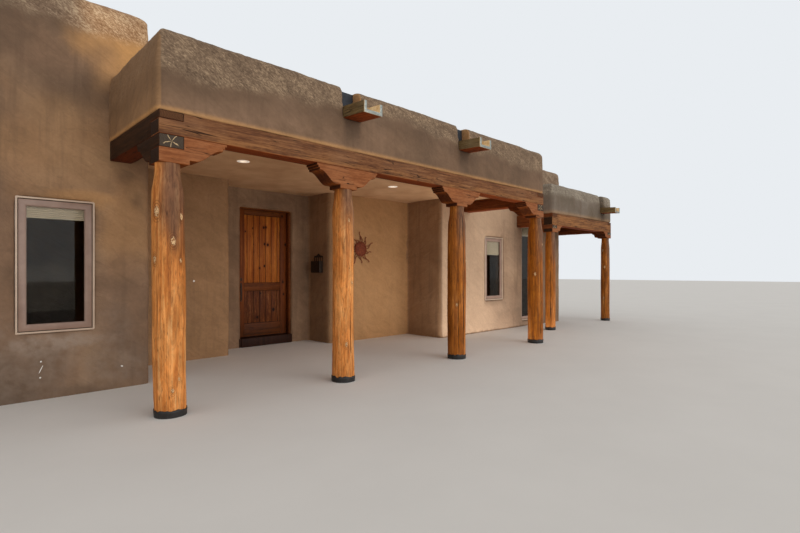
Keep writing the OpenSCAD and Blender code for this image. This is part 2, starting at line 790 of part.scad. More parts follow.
// Moving half: the middle knuckle round the pin
module door_hinge_leaf() {
    difference() {
        union() {
            translate([0, 0, hinge_h / 3 + hinge_gap])
                cylinder(h = hinge_h / 3 - 2 * hinge_gap, r = knuckle_r, $fn = 24);
            hinge_plate(-1, [0, 2]);
        }
        translate([0, 0, -eps]) cylinder(h = hinge_h + 2 * eps, r = pin_r + hinge_gap, $fn = 24);
    }
}

// Boarded panel between the stiles, with a V groove at each joint and half a board at each edge
module board_panel(w, h) {
    t = leaf_t - 2 * panel_down;
    pitch = w / board_joints;
    half = 8;
    deep = 6;
    function face(y, dir) = concat([[0, y]],
        [for (i = [1:board_joints], p = [[-half, 0], [0, deep], [half, 0]])
            [pitch * (i - 0.5) + p[0], y + dir * p[1]]],
        [[w, y]]);
    front = face(panel_down, 1);
    rear = face(panel_down + t, -1);
    linear_extrude(h) polygon(concat(front, [for (i = [len(rear) - 1:-1:0]) rear[i]]));
}

module front_door() {
    panel_w = leaf_w - 2 * stile_w;
    low_z = bottom_rail_h;
    mid_z = low_z + low_panel_h;
    high_z = mid_z + mid_rail_h;
    panels = [[low_z, low_panel_h], [high_z, leaf_h - top_rail_h - high_z]];
    color(door_c) on_wall(door_wall) translate([leaf_x, leaf_set, leaf_z]) {
        difference() {
            cube([leaf_w, leaf_t, leaf_h]);
            for (p = panels) translate([stile_w, -eps, p[0]])
                cube([panel_w, leaf_t + 2 * eps, p[1]]);
        }
        for (p = panels) translate([stile_w, 0, p[0]]) board_panel(panel_w, p[1]);
    }
}

// Hinge halves, latch plate and grip outside, bolt above it, and a lever inside
module door_hardware() {
    plate_w = 40;
    plate_d = 5;
    inside_plate_z = 60;
    grip_w = 18;
    grip_d = 14;
    grip_out = 45;
    grip_z = 30;
    grip_h = pull_h - 60;
    lever_l = 120;
    lever_w = 16;
    lever_z = 200;
    bolt_r = 28;
    bolt_d = 22;
    color(iron_c) at_hinges() door_hinge_leaf();
    color(iron_c) on_wall(door_wall) translate([leaf_x + pull_x, leaf_set, leaf_z + pull_z]) {
        translate([-plate_w / 2, -plate_d, 0]) cube([plate_w, plate_d, pull_h]);
        translate([-grip_w / 2, -grip_out, grip_z]) cube([grip_w, grip_d, grip_h]);
        for (z = [grip_z, grip_z + grip_h - grip_w])
            translate([-grip_w / 2, -grip_out, z]) cube([grip_w, grip_out - plate_d + eps, grip_w]);
        translate([-plate_w / 2, leaf_t, inside_plate_z])
            cube([plate_w, plate_d, pull_h - inside_plate_z]);
        translate([0, leaf_t, lever_z]) rotate([-90, 0, 0]) cylinder(h = grip_out, r = 10, $fn = 24);
        translate([-lever_w / 2, leaf_t + grip_out - 12, lever_z - lever_w / 2])
            cube([lever_l, 12, lever_w]);
        translate([0, 0, bolt_up]) rotate([90, 0, 0]) cylinder(h = bolt_d, r = bolt_r, $fn = 32);
        translate([0, leaf_t, bolt_up]) rotate([-90, 0, 0]) cylinder(h = bolt_d, r = bolt_r, $fn = 32);
    }
}

// Windows
// Block that lies inset from an opening's edges, between two depths behind its frame's face
module in_frame(o, inset, y0, y1) {
    translate([o[0] + inset, window_set + y0, o[2] + inset])
        cube([o[1] - 2 * inset, y1 - y0, o[3] - 2 * inset]);
}

// Casing with the sash set back in it, and a gap between the two
module window_frame(o) {
    sash_edge = casing_w + sash_gap;
    difference() {
        in_frame(o, 0, 0, frame_d);
        in_frame(o, frame_w, -eps, frame_d + eps);
        in_frame(o, casing_w, -eps, sash_set);
        difference() {
            in_frame(o, casing_w, 0, sash_set + sash_gap_d);
            in_frame(o, sash_edge, -eps, frame_d);
        }
        window_pane(o);
    }
}

// Glass with its edges in the frame's groove
module window_pane(o) {
    pane_y = (frame_d - glass_t) / 2;
    in_frame(o, frame_w - bite, pane_y, pane_y + glass_t);
}

all_windows = [[left_front, left_front_windows], [left_side, left_side_windows],
    [left_back, left_back_windows], [right_front, concat(right_front_windows, [tall_window])],
    [right_side, right_side_windows], [back, back_windows]];

module window_frames() {
    color(clad_c) for (w = all_windows, o = w[1]) on_wall(w[0]) window_frame(o);
}

module window_glass() {
    color(glass_c) for (w = all_windows, o = w[1]) on_wall(w[0]) window_pane(o);
}

// Points along one edge of a ray, from step i0 to step i1 of its length. Two
// rods leave the disc side by side and run together where the loop ends.
ray_steps = 16;
ray_root = 15;
loop_end = 0.62;
function ray_mid(reach, s) = [sun_r - ray_root + reach * s, 8 - 28 * sin(300 * s)];
function ray_side(reach, side, inset, i0, i1) =
    [for (i = [i0:i1]) let (s = i / ray_steps, half = ray_rod / 2 + 32 * max(0, cos(90 * s / loop_end)))
        ray_mid(reach, s) + [0, side * (half - inset)]];

module ray_outline(reach, inset, i0, i1) {
    upper = ray_side(reach, 1, inset, i0, i1);
    polygon(concat(ray_side(reach, -1, inset, i0, i1), [for (j = [len(upper) - 1:-1:0]) upper[j]]));
}

module ray(reach) {
    difference() {
        ray_outline(reach, 0, 0, ray_steps);
        ray_outline(reach, ray_rod, 1, ray_steps / 2);
    }
    translate(ray_mid(reach, 1)) circle(r = ray_rod * 0.9, $fn = 16);
}

// Domed disc with a raised rim and a ring of wavy rays, each bent from rod
module wall_sun() {
    stand = 15;
    rim_w = 20;
    rim_h = 7;
    dome_h = 20;
    color(rust_c) on_wall(ornament) translate([sun_x, 0, sun_up]) rotate([90, 0, 0]) {
        cylinder(h = stand, r = 20, $fn = 24);
        translate([0, 0, stand]) linear_extrude(ray_t) {
            circle(r = sun_r, $fn = 48);
            for (i = [0:rays - 1]) rotate(90 + 360 * i / rays) ray(i % 2 == 0 ? ray_l : short_ray_l);
        }
        translate([0, 0, stand + ray_t]) rotate_extrude($fn = 48) {
            polygon([[sun_r - rim_w, 0], [sun_r, 0], [sun_r - 3, rim_h - 1], [sun_r - 6, rim_h],
                [sun_r - rim_w + 4, rim_h]]);
            polygon(concat([[0, 0]],
                [for (i = [0:6]) [(sun_r - rim_w - 4) * cos(15 * i), dome_h * sin(15 * i)]]));
        }
    }
}

// Iron basket: pointed back with upright bars, and a closed box in front of its foot
module wall_basket() {
    plate = 8;
    bar = 14;
    bars = 5;
    shoulder_z = basket_h * 0.865;
    box_h = basket_h * 0.6;
    bar_h = shoulder_z - box_h - 2 * bar;
    gap = (basket_w - bar * bars) / (bars - 1);
    color(iron_c) on_wall(recess_right) translate([basket_x - basket_w / 2, 0, basket_up]) {
        rotate([90, 0, 0]) linear_extrude(plate) difference() {
            polygon([[0, 0], [basket_w, 0], [basket_w, shoulder_z], [basket_w * 0.7, shoulder_z + bar],
                [basket_w / 2, basket_h], [basket_w * 0.3, shoulder_z + bar], [0, shoulder_z]]);
            translate([basket_w / 2, shoulder_z]) circle(r = 10, $fn = 20);
            for (i = [0:bars - 2]) translate([bar + i * (gap + bar), box_h])
                square([gap, bar_h]);
        }
        translate([0, -basket_out, 0]) difference() {
            cube([basket_w, basket_out - plate, box_h]);
            translate([plate, plate, plate])
                cube([basket_w - 2 * plate, basket_out, box_h]);
        }
    }
}

// Terrace roof round the right-hand corner
module terrace_cross_parapets() {
    color(stucco_c) {
        difference() {
            on_wall(terrace_face)
                wall_run(terrace_w + 2 * lip, parapet_t, terrace_parapet_z, terrace_top, 1, 1);
            at_spout(front_spouts[2]) spout_notch(parapet_t);
        }
        on_wall([terrace_x1 + lip, terrace_back + lip, 180])
            wall_run(terrace_x1 + lip - right_x1, parapet_t, terrace_parapet_z, terrace_top, 1, 0);
    }
}

module terrace_side_parapets() {
    color(stucco_c) {
        on_wall([terrace_x0 - lip, right_set, -90])
            wall_run(right_set - terrace_set + lip, parapet_t, terrace_parapet_z, terrace_top, 0, 1);
        on_wall([terrace_x1 + lip, terrace_set - lip, 90])
            wall_run(terrace_back - terrace_set + 2 * lip, parapet_t, terrace_parapet_z, terrace_top, 1, 1);
    }
}

module terrace_roof() {
    edge = parapet_t - lip;
    color(soffit_c) place() translate([0, 0, terrace_parapet_z]) linear_extrude(terrace_deck)
        polygon(concat(
            [[terrace_x0 + edge, terrace_set + edge], [terrace_x1 - edge, terrace_set + edge],
                [terrace_x1 - edge, terrace_back - edge], [right_x1, terrace_back - edge]],
            corner_left(right_x1, right_set), [[terrace_x0 + edge, right_set]]));
}

module terrace_cross_beams() {
    color(beam_c) place() {
        difference() {
            translate([terrace_x0, terrace_set, terrace_beam_z]) cube([terrace_w, timber_w, terrace_beam_h]);
            for (x = [terrace_x0 - eps, terrace_x1 - timber_w])
                translate([x, terrace_set - eps, terrace_parapet_z - beam_lap])
                    cube([timber_w + eps, timber_w + 2 * eps, terrace_beam_h]);
        }
        difference() {
            translate([right_x1, terrace_back - timber_w, terrace_beam_z])
                cube([terrace_x1 - right_x1, timber_w, terrace_beam_h]);
            translate([terrace_x1 - timber_w, terrace_back - timber_w - eps, terrace_parapet_z - beam_lap])
                cube([timber_w + eps, timber_w + 2 * eps, terrace_beam_h]);
        }
    }
}

module terrace_side_beams() {
    side_l = terrace_back - terrace_set;
    color(dark_wood_c) place() {
        translate([terrace_x0, terrace_set, 0])
            return_beam(right_set - terrace_set, terrace_beam_z, terrace_beam_h, beam_lap);
        translate([terrace_x1 - timber_w, terrace_set, 0]) difference() {
            return_beam(side_l, terrace_beam_z, terrace_beam_h, beam_lap);
            translate([-eps, side_l - timber_w, terrace_beam_z - eps])
                cube([timber_w + 2 * eps, timber_w + eps, terrace_beam_h - beam_lap + eps]);
        }
    }
}

module terrace_corbels() {
    color(beam_c) place() translate([0, 0, terrace_column_h]) {
        translate([terrace_x0, terrace_set, 0])
            corner_corbel(terrace_reach, terrace_corbel_h, terrace_lap);
        translate([terrace_x1, terrace_set, 0]) mirror([1, 0, 0])
            corner_corbel(terrace_reach, terrace_corbel_h, terrace_lap);
        translate([terrace_x1, terrace_back - timber_w, 0]) mirror([1, 0, 0])
            corner_corbel(terrace_reach, terrace_corbel_h, terrace_lap);
    }
}

module terrace_return_corbels() {
    color(dark_wood_c) place() translate([0, 0, terrace_column_h]) {
        translate([terrace_x0, terrace_set, 0])
            return_corbel(terrace_reach, terrace_corbel_h, terrace_lap);
        translate([terrace_x1 - timber_w, terrace_set, 0])
            return_corbel(terrace_reach, terrace_corbel_h, terrace_lap);
        translate([terrace_x1 - timber_w, terrace_back, 0]) mirror([0, 1, 0])
            return_corbel(terrace_reach, terrace_corbel_h, terrace_lap);
    }
}

left_front_wall();
left_side_wall();
left_back_wall();
left_return_wall();
roof_step_wall();
hall_wall();
recess_left_wall();
door_side_walls();
door_lintel_wall();
recess_right_wall();
ornament_wall();
portal_end_wall();
right_front_wall();
right_side_wall();
back_wall();
floor_slab();
roof_decks();
portal_front_parapet();
portal_side_parapets();
portal_roof();
front_beam();
side_beams();
front_corbels();
return_corbels();
log_columns();
column_collars();
canales();
canal_liners();
portal_lights();
door_frame();
door_sill();
door_hinges();
front_door();
door_hardware();
window_frames();
window_glass();
wall_sun();
wall_basket();
terrace_cross_parapets();
terrace_side_parapets();
terrace_roof();
terrace_cross_beams();
terrace_side_beams();
terrace_corbels();
terrace_return_corbels();
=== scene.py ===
import contextlib
import functools
import json
import math
import random

import bpy
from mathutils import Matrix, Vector, noise


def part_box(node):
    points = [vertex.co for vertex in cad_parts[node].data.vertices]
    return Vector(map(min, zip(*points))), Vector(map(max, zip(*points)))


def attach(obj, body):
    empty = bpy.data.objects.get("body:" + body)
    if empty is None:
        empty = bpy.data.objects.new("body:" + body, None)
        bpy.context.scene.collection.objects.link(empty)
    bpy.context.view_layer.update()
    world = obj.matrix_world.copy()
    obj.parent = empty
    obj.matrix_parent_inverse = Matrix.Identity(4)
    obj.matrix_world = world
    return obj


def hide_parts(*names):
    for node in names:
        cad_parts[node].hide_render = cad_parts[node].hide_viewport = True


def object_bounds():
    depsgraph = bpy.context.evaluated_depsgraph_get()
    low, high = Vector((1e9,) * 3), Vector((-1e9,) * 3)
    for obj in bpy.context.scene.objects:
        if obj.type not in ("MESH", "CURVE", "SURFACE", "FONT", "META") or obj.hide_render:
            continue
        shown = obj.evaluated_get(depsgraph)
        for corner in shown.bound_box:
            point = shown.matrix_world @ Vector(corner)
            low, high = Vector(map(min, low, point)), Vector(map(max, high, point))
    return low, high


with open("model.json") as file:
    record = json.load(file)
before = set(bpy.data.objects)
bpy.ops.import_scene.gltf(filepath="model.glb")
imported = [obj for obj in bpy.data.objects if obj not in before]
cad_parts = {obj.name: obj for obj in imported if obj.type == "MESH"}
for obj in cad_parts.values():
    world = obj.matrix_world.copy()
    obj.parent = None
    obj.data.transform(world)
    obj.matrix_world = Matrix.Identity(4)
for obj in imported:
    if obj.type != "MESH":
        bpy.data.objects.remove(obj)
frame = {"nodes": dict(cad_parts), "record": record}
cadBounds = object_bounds()
nodes = frame["nodes"]
random.seed(11)
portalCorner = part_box("front_beam")[0]  # the portal beam's front left corner
print("frame loaded:", len(nodes), "nodes")


# Small tools

def only(piece):
    bpy.ops.object.select_all(action="DESELECT")
    piece.select_set(True)
    bpy.context.view_layer.objects.active = piece


def settle(piece):
    only(piece)
    bpy.ops.object.transform_apply(location=True, rotation=True, scale=True)
    return piece


def newObject(name, data):
    made = bpy.data.objects.new(name, data)
    bpy.context.scene.collection.objects.link(made)
    return made


def applyModifier(piece, kind, **settings):
    only(piece)
    modifier = piece.modifiers.new(kind.lower(), kind)
    for name, value in settings.items():
        setattr(modifier, name, value)
    bpy.ops.object.modifier_apply(modifier=modifier.name)


def easeEdges(piece, width):
    applyModifier(piece, "BEVEL", width=width, segments=2, limit_method="ANGLE", angle_limit=math.radians(40))


@contextlib.contextmanager
def editing(piece, faces=None, edges=None):
    # edit mode with everything selected, or only the faces or the edges that pass a test
    only(piece)
    bpy.ops.object.mode_set(mode="EDIT")
    bpy.ops.mesh.select_all(action="SELECT")
    if faces or edges:
        bpy.context.tool_settings.mesh_select_mode = (False, bool(edges), bool(faces))
        bpy.ops.mesh.select_all(action="DESELECT")
        bpy.ops.object.mode_set(mode="OBJECT")
        for part in piece.data.polygons if faces else piece.data.edges:
            part.select = faces(part) if faces else edges(part)
        bpy.ops.object.mode_set(mode="EDIT")
    yield
    bpy.ops.object.mode_set(mode="OBJECT")


def joinPieces(pieces, name):
    bpy.ops.object.select_all(action="DESELECT")
    for piece in pieces:
        piece.select_set(True)
    bpy.context.view_layer.objects.active = pieces[0]
    if len(pieces) > 1:
        bpy.ops.object.join()
    pieces[0].name = name
    return pieces[0]


def nodeCopy(node, name=None):
    # a merged copy of a CAD node, with its flat faces made whole; front_beam is named frontBeam
    words = node.split("_")
    piece = newObject(name or words[0] + "".join(word.title() for word in words[1:]), nodes[node].data.copy())
    piece.data.materials.clear()
    only(piece)
    bpy.ops.mesh.customdata_custom_splitnormals_clear()
    with editing(piece):
        bpy.ops.mesh.remove_doubles(threshold=0.0002)
        bpy.ops.mesh.dissolve_limited(angle_limit=math.radians(0.5))
    return piece


def looseBoxes(node):
    # the corners of each separate solid of a CAD node
    with editing(nodeCopy(node, "measured")):
        bpy.ops.mesh.separate(type="LOOSE")
    boxes = []
    for part in list(bpy.context.selected_objects):
        corners = [vertex.co for vertex in part.data.vertices]
        boxes.append([Vector([pick(c[i] for c in corners) for i in range(3)]) for pick in (min, max)])
        bpy.data.objects.remove(part)
    return sorted(boxes, key=lambda box: (round(box[0].x, 2), round(box[0].y, 2)))


def smoothShade(piece, angle=35):
    only(piece)
    bpy.ops.object.shade_smooth_by_angle(angle=math.radians(angle))


def setAttributes(piece, shares):
    # one value for each vertex under each name
    for name, values in shares.items():
        piece.data.attributes.new(name, "FLOAT", "POINT").data.foreach_set("value", values)


def handOver(piece, materials, replaced=(), body="house"):
    for material in materials:
        piece.data.materials.append(material)
    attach(piece, body)
    if replaced:
        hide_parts(*replaced)


def smoothStep(low, high, value):
    share = min(max((value - low) / (high - low), 0), 1)
    return share * share * (3 - 2 * share)


def makeBoard(low, high, bevel, dirtAxis=None):
    # a board between two corners, with its edges eased, and dirt in the joints across one axis
    low, high = Vector(low), Vector(high)
    bpy.ops.mesh.primitive_cube_add(size=1, location=(low + high) / 2)
    board = bpy.context.object
    board.scale = high - low
    settle(board)
    applyModifier(board, "BEVEL", width=bevel, segments=2)
    if dirtAxis is not None:
        places = [vertex.co[dirtAxis] for vertex in board.data.vertices]
        setAttributes(board, {"dirt": [
            float(min(place - low[dirtAxis], high[dirtAxis] - place) < bevel * 0.75) for place in places]})
    return board


# Materials

def toLinear(colour):
    channels = [int(colour[i:i + 2], 16) / 255 for i in (1, 3, 5)]
    return [c / 12.92 if c <= 0.04045 else ((c + 0.055) / 1.055) ** 2.4 for c in channels] + [1]


def addNode(tree, kind, *values, out=None, stops=(), **named):
    # values go to the node's sockets in their order, named ones to the socket or setting of that name
    node = tree.nodes.new("ShaderNode" + kind)
    for name, value in named.items():
        if name not in node.inputs:
            setattr(node, name, value)
    pairs = list(zip([socket for socket in node.inputs if socket.enabled], values))
    pairs += [(node.inputs[name], value) for name, value in named.items() if name in node.inputs]
    for socket, value in pairs:
        if isinstance(value, bpy.types.NodeSocket):
            tree.links.new(value, socket)
        else:
            socket.default_value = toLinear(value) if isinstance(value, str) else value
    for i, (place, colour) in enumerate(stops):
        elements = node.color_ramp.elements
        if i >= len(elements):
            elements.new(place)
        elements[i].position = place
        elements[i].color = toLinear(colour)
    return node.outputs[out] if out else [socket for socket in node.outputs if socket.enabled][0]


def layered(add, surface, *layers):
    # coats laid over each other in turn, each with its share
    for share, colour in layers:
        surface = add("Mix", share, surface, colour, data_type="RGBA")
    return surface


def longNoise(add, place, width, length, axis, *settings, **more):
    # noise drawn out along one axis, from its width and length in millimetres
    scale = [1000 / width] * 3
    scale[axis] = 1000 / length
    return add("TexNoise", add("Mapping", place, Scale=scale), 1.0, *settings, **more)


def slantPlace(add, place, down, lean, *sizes):
    # coordinates along and across marks that slant down to the right, from their sizes in millimetres
    rows = [(1, 1, -down), (1, -1, 0), (lean, lean, 1)]
    return add("CombineXYZ", *[
        add("VectorMath", place, [part * 1000 / size for part in row], operation="DOT_PRODUCT")
        for row, size in zip(rows, sizes)])


def thinLines(add, value, width):
    # 1 on the lines where a noise crosses its middle value
    away = add("Math", add("Math", value, 0.5, operation="SUBTRACT"), operation="ABSOLUTE")
    return add("MapRange", away, width, width * 0.3, 0.0, 1.0)


def knotDistance(add, place, knots):
    # distance to the nearest of a few knots, in knot sizes
    nearest = None
    for x, z, size in knots:
        away = add("VectorMath", place, (1 / size, 0, 0.75 / size), (-x / size, 0, -z * 0.75 / size),
                   operation="MULTIPLY_ADD")
        distance = add("VectorMath", away, operation="LENGTH")
        nearest = add("Math", nearest, distance, operation="MINIMUM") if nearest else distance
    return nearest


def newMaterial(name, shaderInputs):
    material = bpy.data.materials.new(name)
    material.use_nodes = True
    shader = material.node_tree.nodes["Principled BSDF"]
    for socket, value in shaderInputs.items():
        shader.inputs[socket].default_value = toLinear(value) if isinstance(value, str) else value
    return material, functools.partial(addNode, material.node_tree)


def finishMaterial(material, colour, height, strength, distance, **under):
    tree = material.node_tree
    bump = addNode(tree, "Bump", Strength=strength, Distance=distance, Height=height, **under)
    shader = tree.nodes["Principled BSDF"]
    tree.links.new(colour, shader.inputs["Base Color"])
    tree.links.new(bump, shader.inputs["Normal"])
    return material


def stuccoMaterial(name, values):
    # Earth stucco put on with a steel trowel: dry and matt, faint arcs of lighter and darker clay about
    # 0.4 m long, clouds where one batch dried darker, sand drawn coarse enough to show, faint runs from
    # rain. Near the tops it was worked by hand, in slanting strokes with pale grit on their ridges.
    material, add = newMaterial(name, {"Roughness": 0.93, "Specular IOR Level": 0.2})
    place = add("TexCoord", out="Object")
    warm, faded, rough, stain, bloom = [add("Attribute", out="Fac", attribute_name=kind)
                                        for kind in ("warm", "faded", "rough", "stain", "bloom")]
    clouds = add("TexNoise", place, 1000 / values["cloud"], 5, 0.62)
    body = add("ValToRGB", clouds, stops=zip((0.34, 0.5, 0.66), values["tones"]))
    # painted warm light, then painted sunlight, laid over the clay
    body = layered(add, body, (warm, values["warm"]), (faded, values["faded"]))
    arcPlace = slantPlace(add, place, 0.6, 0.591, *values["arc"])
    arcs = add("TexNoise", arcPlace, 1.0, 6, 0.62, Distortion=1.5)
    sand = add("TexNoise", place, 1000 / values["sand"], 4, 0.7)
    for pattern, least, most in ((arcs, 0.9, 1.09), (sand, 0.92, 1.07)):
        shade = add("MapRange", pattern, 0.3, 0.7, least, most)
        body = add("Mix", 1.0, body, shade, data_type="RGBA", blend_type="MULTIPLY")
    # runs and trowel edges fade where painted warm light and painted sunlight lie
    weather = add("MapRange", add("Math", warm, faded, operation="MAXIMUM"), 0.6, 0.1, 0.12, 1.0)
    edges = thinLines(add, add("TexNoise", arcPlace, 0.8, 2, 0.5, Distortion=1.0), 0.012)
    runs = add("MapRange", longNoise(add, place, *values["run"], 2, 4, 0.6), 0.52, 0.7, 0.0, 0.4)
    for marks in (add("Math", edges, 0.2, operation="MULTIPLY"), runs):
        body = layered(add, body, (add("Math", marks, weather, operation="MULTIPLY"), values["runTone"]))
    strokePlace = slantPlace(add, place, 0.652, 0.63, *values["stroke"])
    strokes = add("TexNoise", strokePlace, 1.0, 4, 0.75, Distortion=0.5)
    swathPlace = slantPlace(add, place, 0.625, 0.607, *values["swath"])
    swaths = add("TexNoise", swathPlace, 1.0, 3, 0.6, Distortion=0.8)
    swaths = add("Math", swaths, 0.28, operation="MULTIPLY")
    hand = add("Math", strokes, 0.72, swaths, operation="MULTIPLY_ADD")
    # grit of the coarse coat, and a copy of it as lit by the painted warm light
    grit, litGrit = [add("ValToRGB", hand, stops=zip((0.39, 0.5, 0.62), values[kind]))
                      for kind in ("grit", "litGrit")]
    bloomCloud = add("TexNoise", place, 1000 / values["bloomCloud"], 5, 0.6)
    bloom = add("Math", bloom, add("MapRange", bloomCloud, 0.36, 0.6, 0.25, 1.0), operation="MULTIPLY")
    # over the body: the coarse coat, then stain that also holds painted shade, then pale bloom
    surface = layered(add, body, (rough, layered(add, grit, (warm, litGrit))), (stain, values["stain"]),
                      (bloom, values["bloom"]))
    low = add("Bump", Strength=0.7, Distance=0.022, Height=add("Mix", rough, arcs, hand))
    grains = add("TexNoise", place, 1000 / values["grain"], 4, 0.7)
    return finishMaterial(material, surface, grains, 0.3, 0.003, Normal=low)


def timberMaterial(name, values):
    # Sawn softwood: long grain, black drying checks along it, bleached where the weather reaches
    # and still stained red-brown on the undersides
    material, add = newMaterial(name, {"Roughness": values["roughness"], "Specular IOR Level": 0.15})
    place = add("TexCoord", out="Object")
    tones, axis = values["tones"], values["axis"]
    width, length = values["grain"]
    short = longNoise(add, place, width / 1.7, length / 8, axis, 3, 0.6)
    short = add("Math", short, values["short"], operation="MULTIPLY")
    grain = longNoise(add, place, width, length, axis, 7, 0.68, Distortion=0.5)
    grain = add("Math", grain, 1 - values["short"], short, operation="MULTIPLY_ADD")
    surface = add("ValToRGB", grain, stops=zip((0.3, 0.45, 0.56, 0.72), tones))
    patchPlace = add("Mapping", place, Scale=[1000 / size for size in values["patch"]])
    patch = add("TexNoise", patchPlace, 1.0, 3, 0.6)
    bleached = add("MapRange", patch, 0.45, 0.7, 0.0, values["bleach"])
    surface = layered(add, surface, (bleached, values["bleachTone"]))
    if "glow" in values:
        # between two heights the stain has kept its own colour
        low, high, tone = values["glow"]
        level = add("MapRange", add("SeparateXYZ", place, out="Z"), high, low, 0.0, 1.0)
        share = add("Math", level, add("MapRange", grain, 0.42, 0.6, 0.0, 0.8), operation="MULTIPLY")
        surface = layered(add, surface, (share, tone))
    facing = add("SeparateXYZ", add("NewGeometry", out="Normal")).node.outputs
    if "underTones" in values:
        below = add("MapRange", facing["Z"], -0.15, -0.7, 0.0, 1.0)
        underside = add("ValToRGB", grain, stops=zip((0.35, 0.65), values["underTones"]))
        surface = layered(add, surface, (below, underside))
    # painted shade on the faces that look along the grain's axis
    if "ribs" in values:
        cut = add("MapRange", add("Math", facing[axis], operation="ABSOLUTE"), 0.3, 0.75, 0.0, 0.9)
        surface = layered(add, surface, (cut, values["ribs"]))
    lines = thinLines(add, longNoise(add, place, width * 2, length * 2.5, axis, 2, 0.5, Distortion=0.3),
                      values["check"])
    checks = add("Math", lines, add("MapRange", patch, 0.4, 0.52, 0.0, 1.0), operation="MULTIPLY")
    surface = layered(add, surface, (checks, values["checkTone"]))
    if "knots" in values:
        knots = knotDistance(add, place, values["knots"])
        surface = layered(add, surface, (add("MapRange", knots, 2.6, 1.0, 0.0, 0.45), tones[0]),
                          (add("MapRange", knots, 1.15, 0.8, 0.0, 0.95), values["knotTone"]))
    if "dirt" in values:
        surface = layered(add, surface, (add("Attribute", out="Fac", attribute_name="dirt"), values["dirt"]))
    relief = add("Math", grain, checks, operation="SUBTRACT")
    return finishMaterial(material, surface, relief, 0.6, values["relief"])


def endGrainMaterial(name, values):
    # Sawn end of a beam: growth rings round the heart, and on the oldest ends pale splits in a star
    material, add = newMaterial(name, {"Roughness": 0.9, "Specular IOR Level": 0.2})
    uv = add("UVMap", uv_map="ends")
    # the rings wander over about 110 mm
    wander = add("TexNoise", uv, 1000 / 111, 3, 0.6)
    radius = add("VectorMath", uv, operation="LENGTH")
    bent = add("Math", wander, 0.03, radius, operation="MULTIPLY_ADD")
    ring = add("Math", bent, 2 * math.pi * 1000 / values["ring"], operation="MULTIPLY")
    ring = add("Math", ring, operation="SINE")
    surface = add("ValToRGB", ring, stops=zip((0.1, 0.9), values["tones"]))
    if "splits" in values:
        across = add("SeparateXYZ", uv).node.outputs
        angle = add("Math", across["Y"], across["X"], operation="ARCTAN2")
        swing = add("Math", wander, 1.4, angle, operation="MULTIPLY_ADD")
        star = add("Math", add("Math", swing, values["splits"], operation="MULTIPLY"), operation="SINE")
        narrow = add("MapRange", radius, 0.0, 0.07, 0.72, 0.975)
        line = add("MapRange", star, narrow, 1.0, 0.0, 3.0)
        edge = add("Math", wander, 0.06, radius, operation="MULTIPLY_ADD")
        reach = add("MapRange", edge, 0.115, 0.1, 0.0, 1.0)
        surface = layered(add, surface, (add("Math", line, reach, operation="MULTIPLY"), values["pale"]))
    return finishMaterial(material, surface, ring, 0.5, 0.002)


def logMaterial(name, values):
    # Peeled pine log, oiled: honey wood in long streaks, paler and golden low down, grey where rain reaches
    # its head, that grey darkened as painted shade under the beam; cream knots inside swirling rings, bark
    # flecks 5 to 30 mm long, drying checks
    material, add = newMaterial(name, {"Roughness": 0.62, "Specular IOR Level": 0.2})
    place = add("TexCoord", out="Object")
    knot, golden, ruddy, bleach, check = [add("Attribute", out="Fac", attribute_name=kind)
                                          for kind in ("knot", "golden", "ruddy", "bleach", "check")]
    streak = longNoise(add, place, *values["streak"], 2, 6, 0.65, Distortion=0.6)
    wood, goldenWood, ruddyWood = [add("ValToRGB", streak, stops=zip((0.3, 0.44, 0.56, 0.72), values[kind]))
                                   for kind in ("tones", "golden", "ruddy")]
    grey = add("ValToRGB", streak, stops=zip((0.35, 0.65), values["grey"]))
    surface = layered(add, wood, (golden, goldenWood), (ruddy, ruddyWood), (bleach, grey))
    blotch = longNoise(add, place, *values["blotch"], 2, 5, 0.7, Distortion=0.8)
    blotch = add("MapRange", blotch, 0.32, 0.68, 0.66, 1.2)
    surface = add("Mix", 1.0, surface, blotch, data_type="RGBA", blend_type="MULTIPLY")
    flecks = add("MapRange", longNoise(add, place, *values["bark"], 2, 3, 0.6), 0.57, 0.67, 0.0, 0.5)
    broad = add("MapRange", longNoise(add, place, *values["broad"], 2, 3, 0.6), 0.46, 0.6, 0.0, 0.6)
    lines = thinLines(add, longNoise(add, place, *values["split"], 2, 2, 0.5, Distortion=0.4), 0.015)
    checks = add("Math", add("Math", lines, broad, operation="MULTIPLY"), check, operation="MAXIMUM")
    # rings that wander with the streaks, a dark rim, and a pale knot with a broken brown heart
    turns = add("Math", knot, 30.0, add("Math", streak, 5.0, operation="MULTIPLY"), operation="MULTIPLY_ADD")
    swirl = add("MapRange", add("Math", turns, operation="SINE"), 0.2, 1.0, 0.0, 0.7)
    swirl = add("Math", swirl, add("MapRange", knot, 0.02, 0.25, 0.0, 1.0), operation="MULTIPLY")
    rim = add("Math", add("Math", knot, 0.62, operation="SUBTRACT"), operation="ABSOLUTE")
    rim = add("MapRange", rim, 0.09, 0.03, 0.0, 0.55)
    mottle = add("TexNoise", place, 1000 / values["mottle"], 3, 0.7, Distortion=0.5)
    heart = add("Math", knot, 0.45, mottle, operation="MULTIPLY_ADD")
    heart = add("ValToRGB", heart, stops=zip((0.84, 0.92), values["knot"]))
    uneven = add("Math", mottle, 0.9, knot, operation="MULTIPLY_ADD")
    surface = layered(add, surface, (flecks, values["fleck"]), (swirl, values["rim"]), (rim, values["rim"]),
                      (add("MapRange", uneven, 1.04, 1.1, 0.0, 1.0), heart), (checks, values["check"]))
    return finishMaterial(material, surface, add("Math", streak, checks, operation="SUBTRACT"), 0.45, 0.004)


def plainMaterial(name, shaderInputs, size, dark, light, bump, relief):
    # one even finish with a little cloud in its colour and a fine relief, both of one size in millimetres
    material, add = newMaterial(name, shaderInputs)
    cloud = add("TexNoise", add("TexCoord", out="Object"), 1000 / size, 5, 0.6)
    tone = add("ValToRGB", cloud, stops=[(0.35, dark), (0.65, light)])
    return finishMaterial(material, tone, cloud, bump, relief)


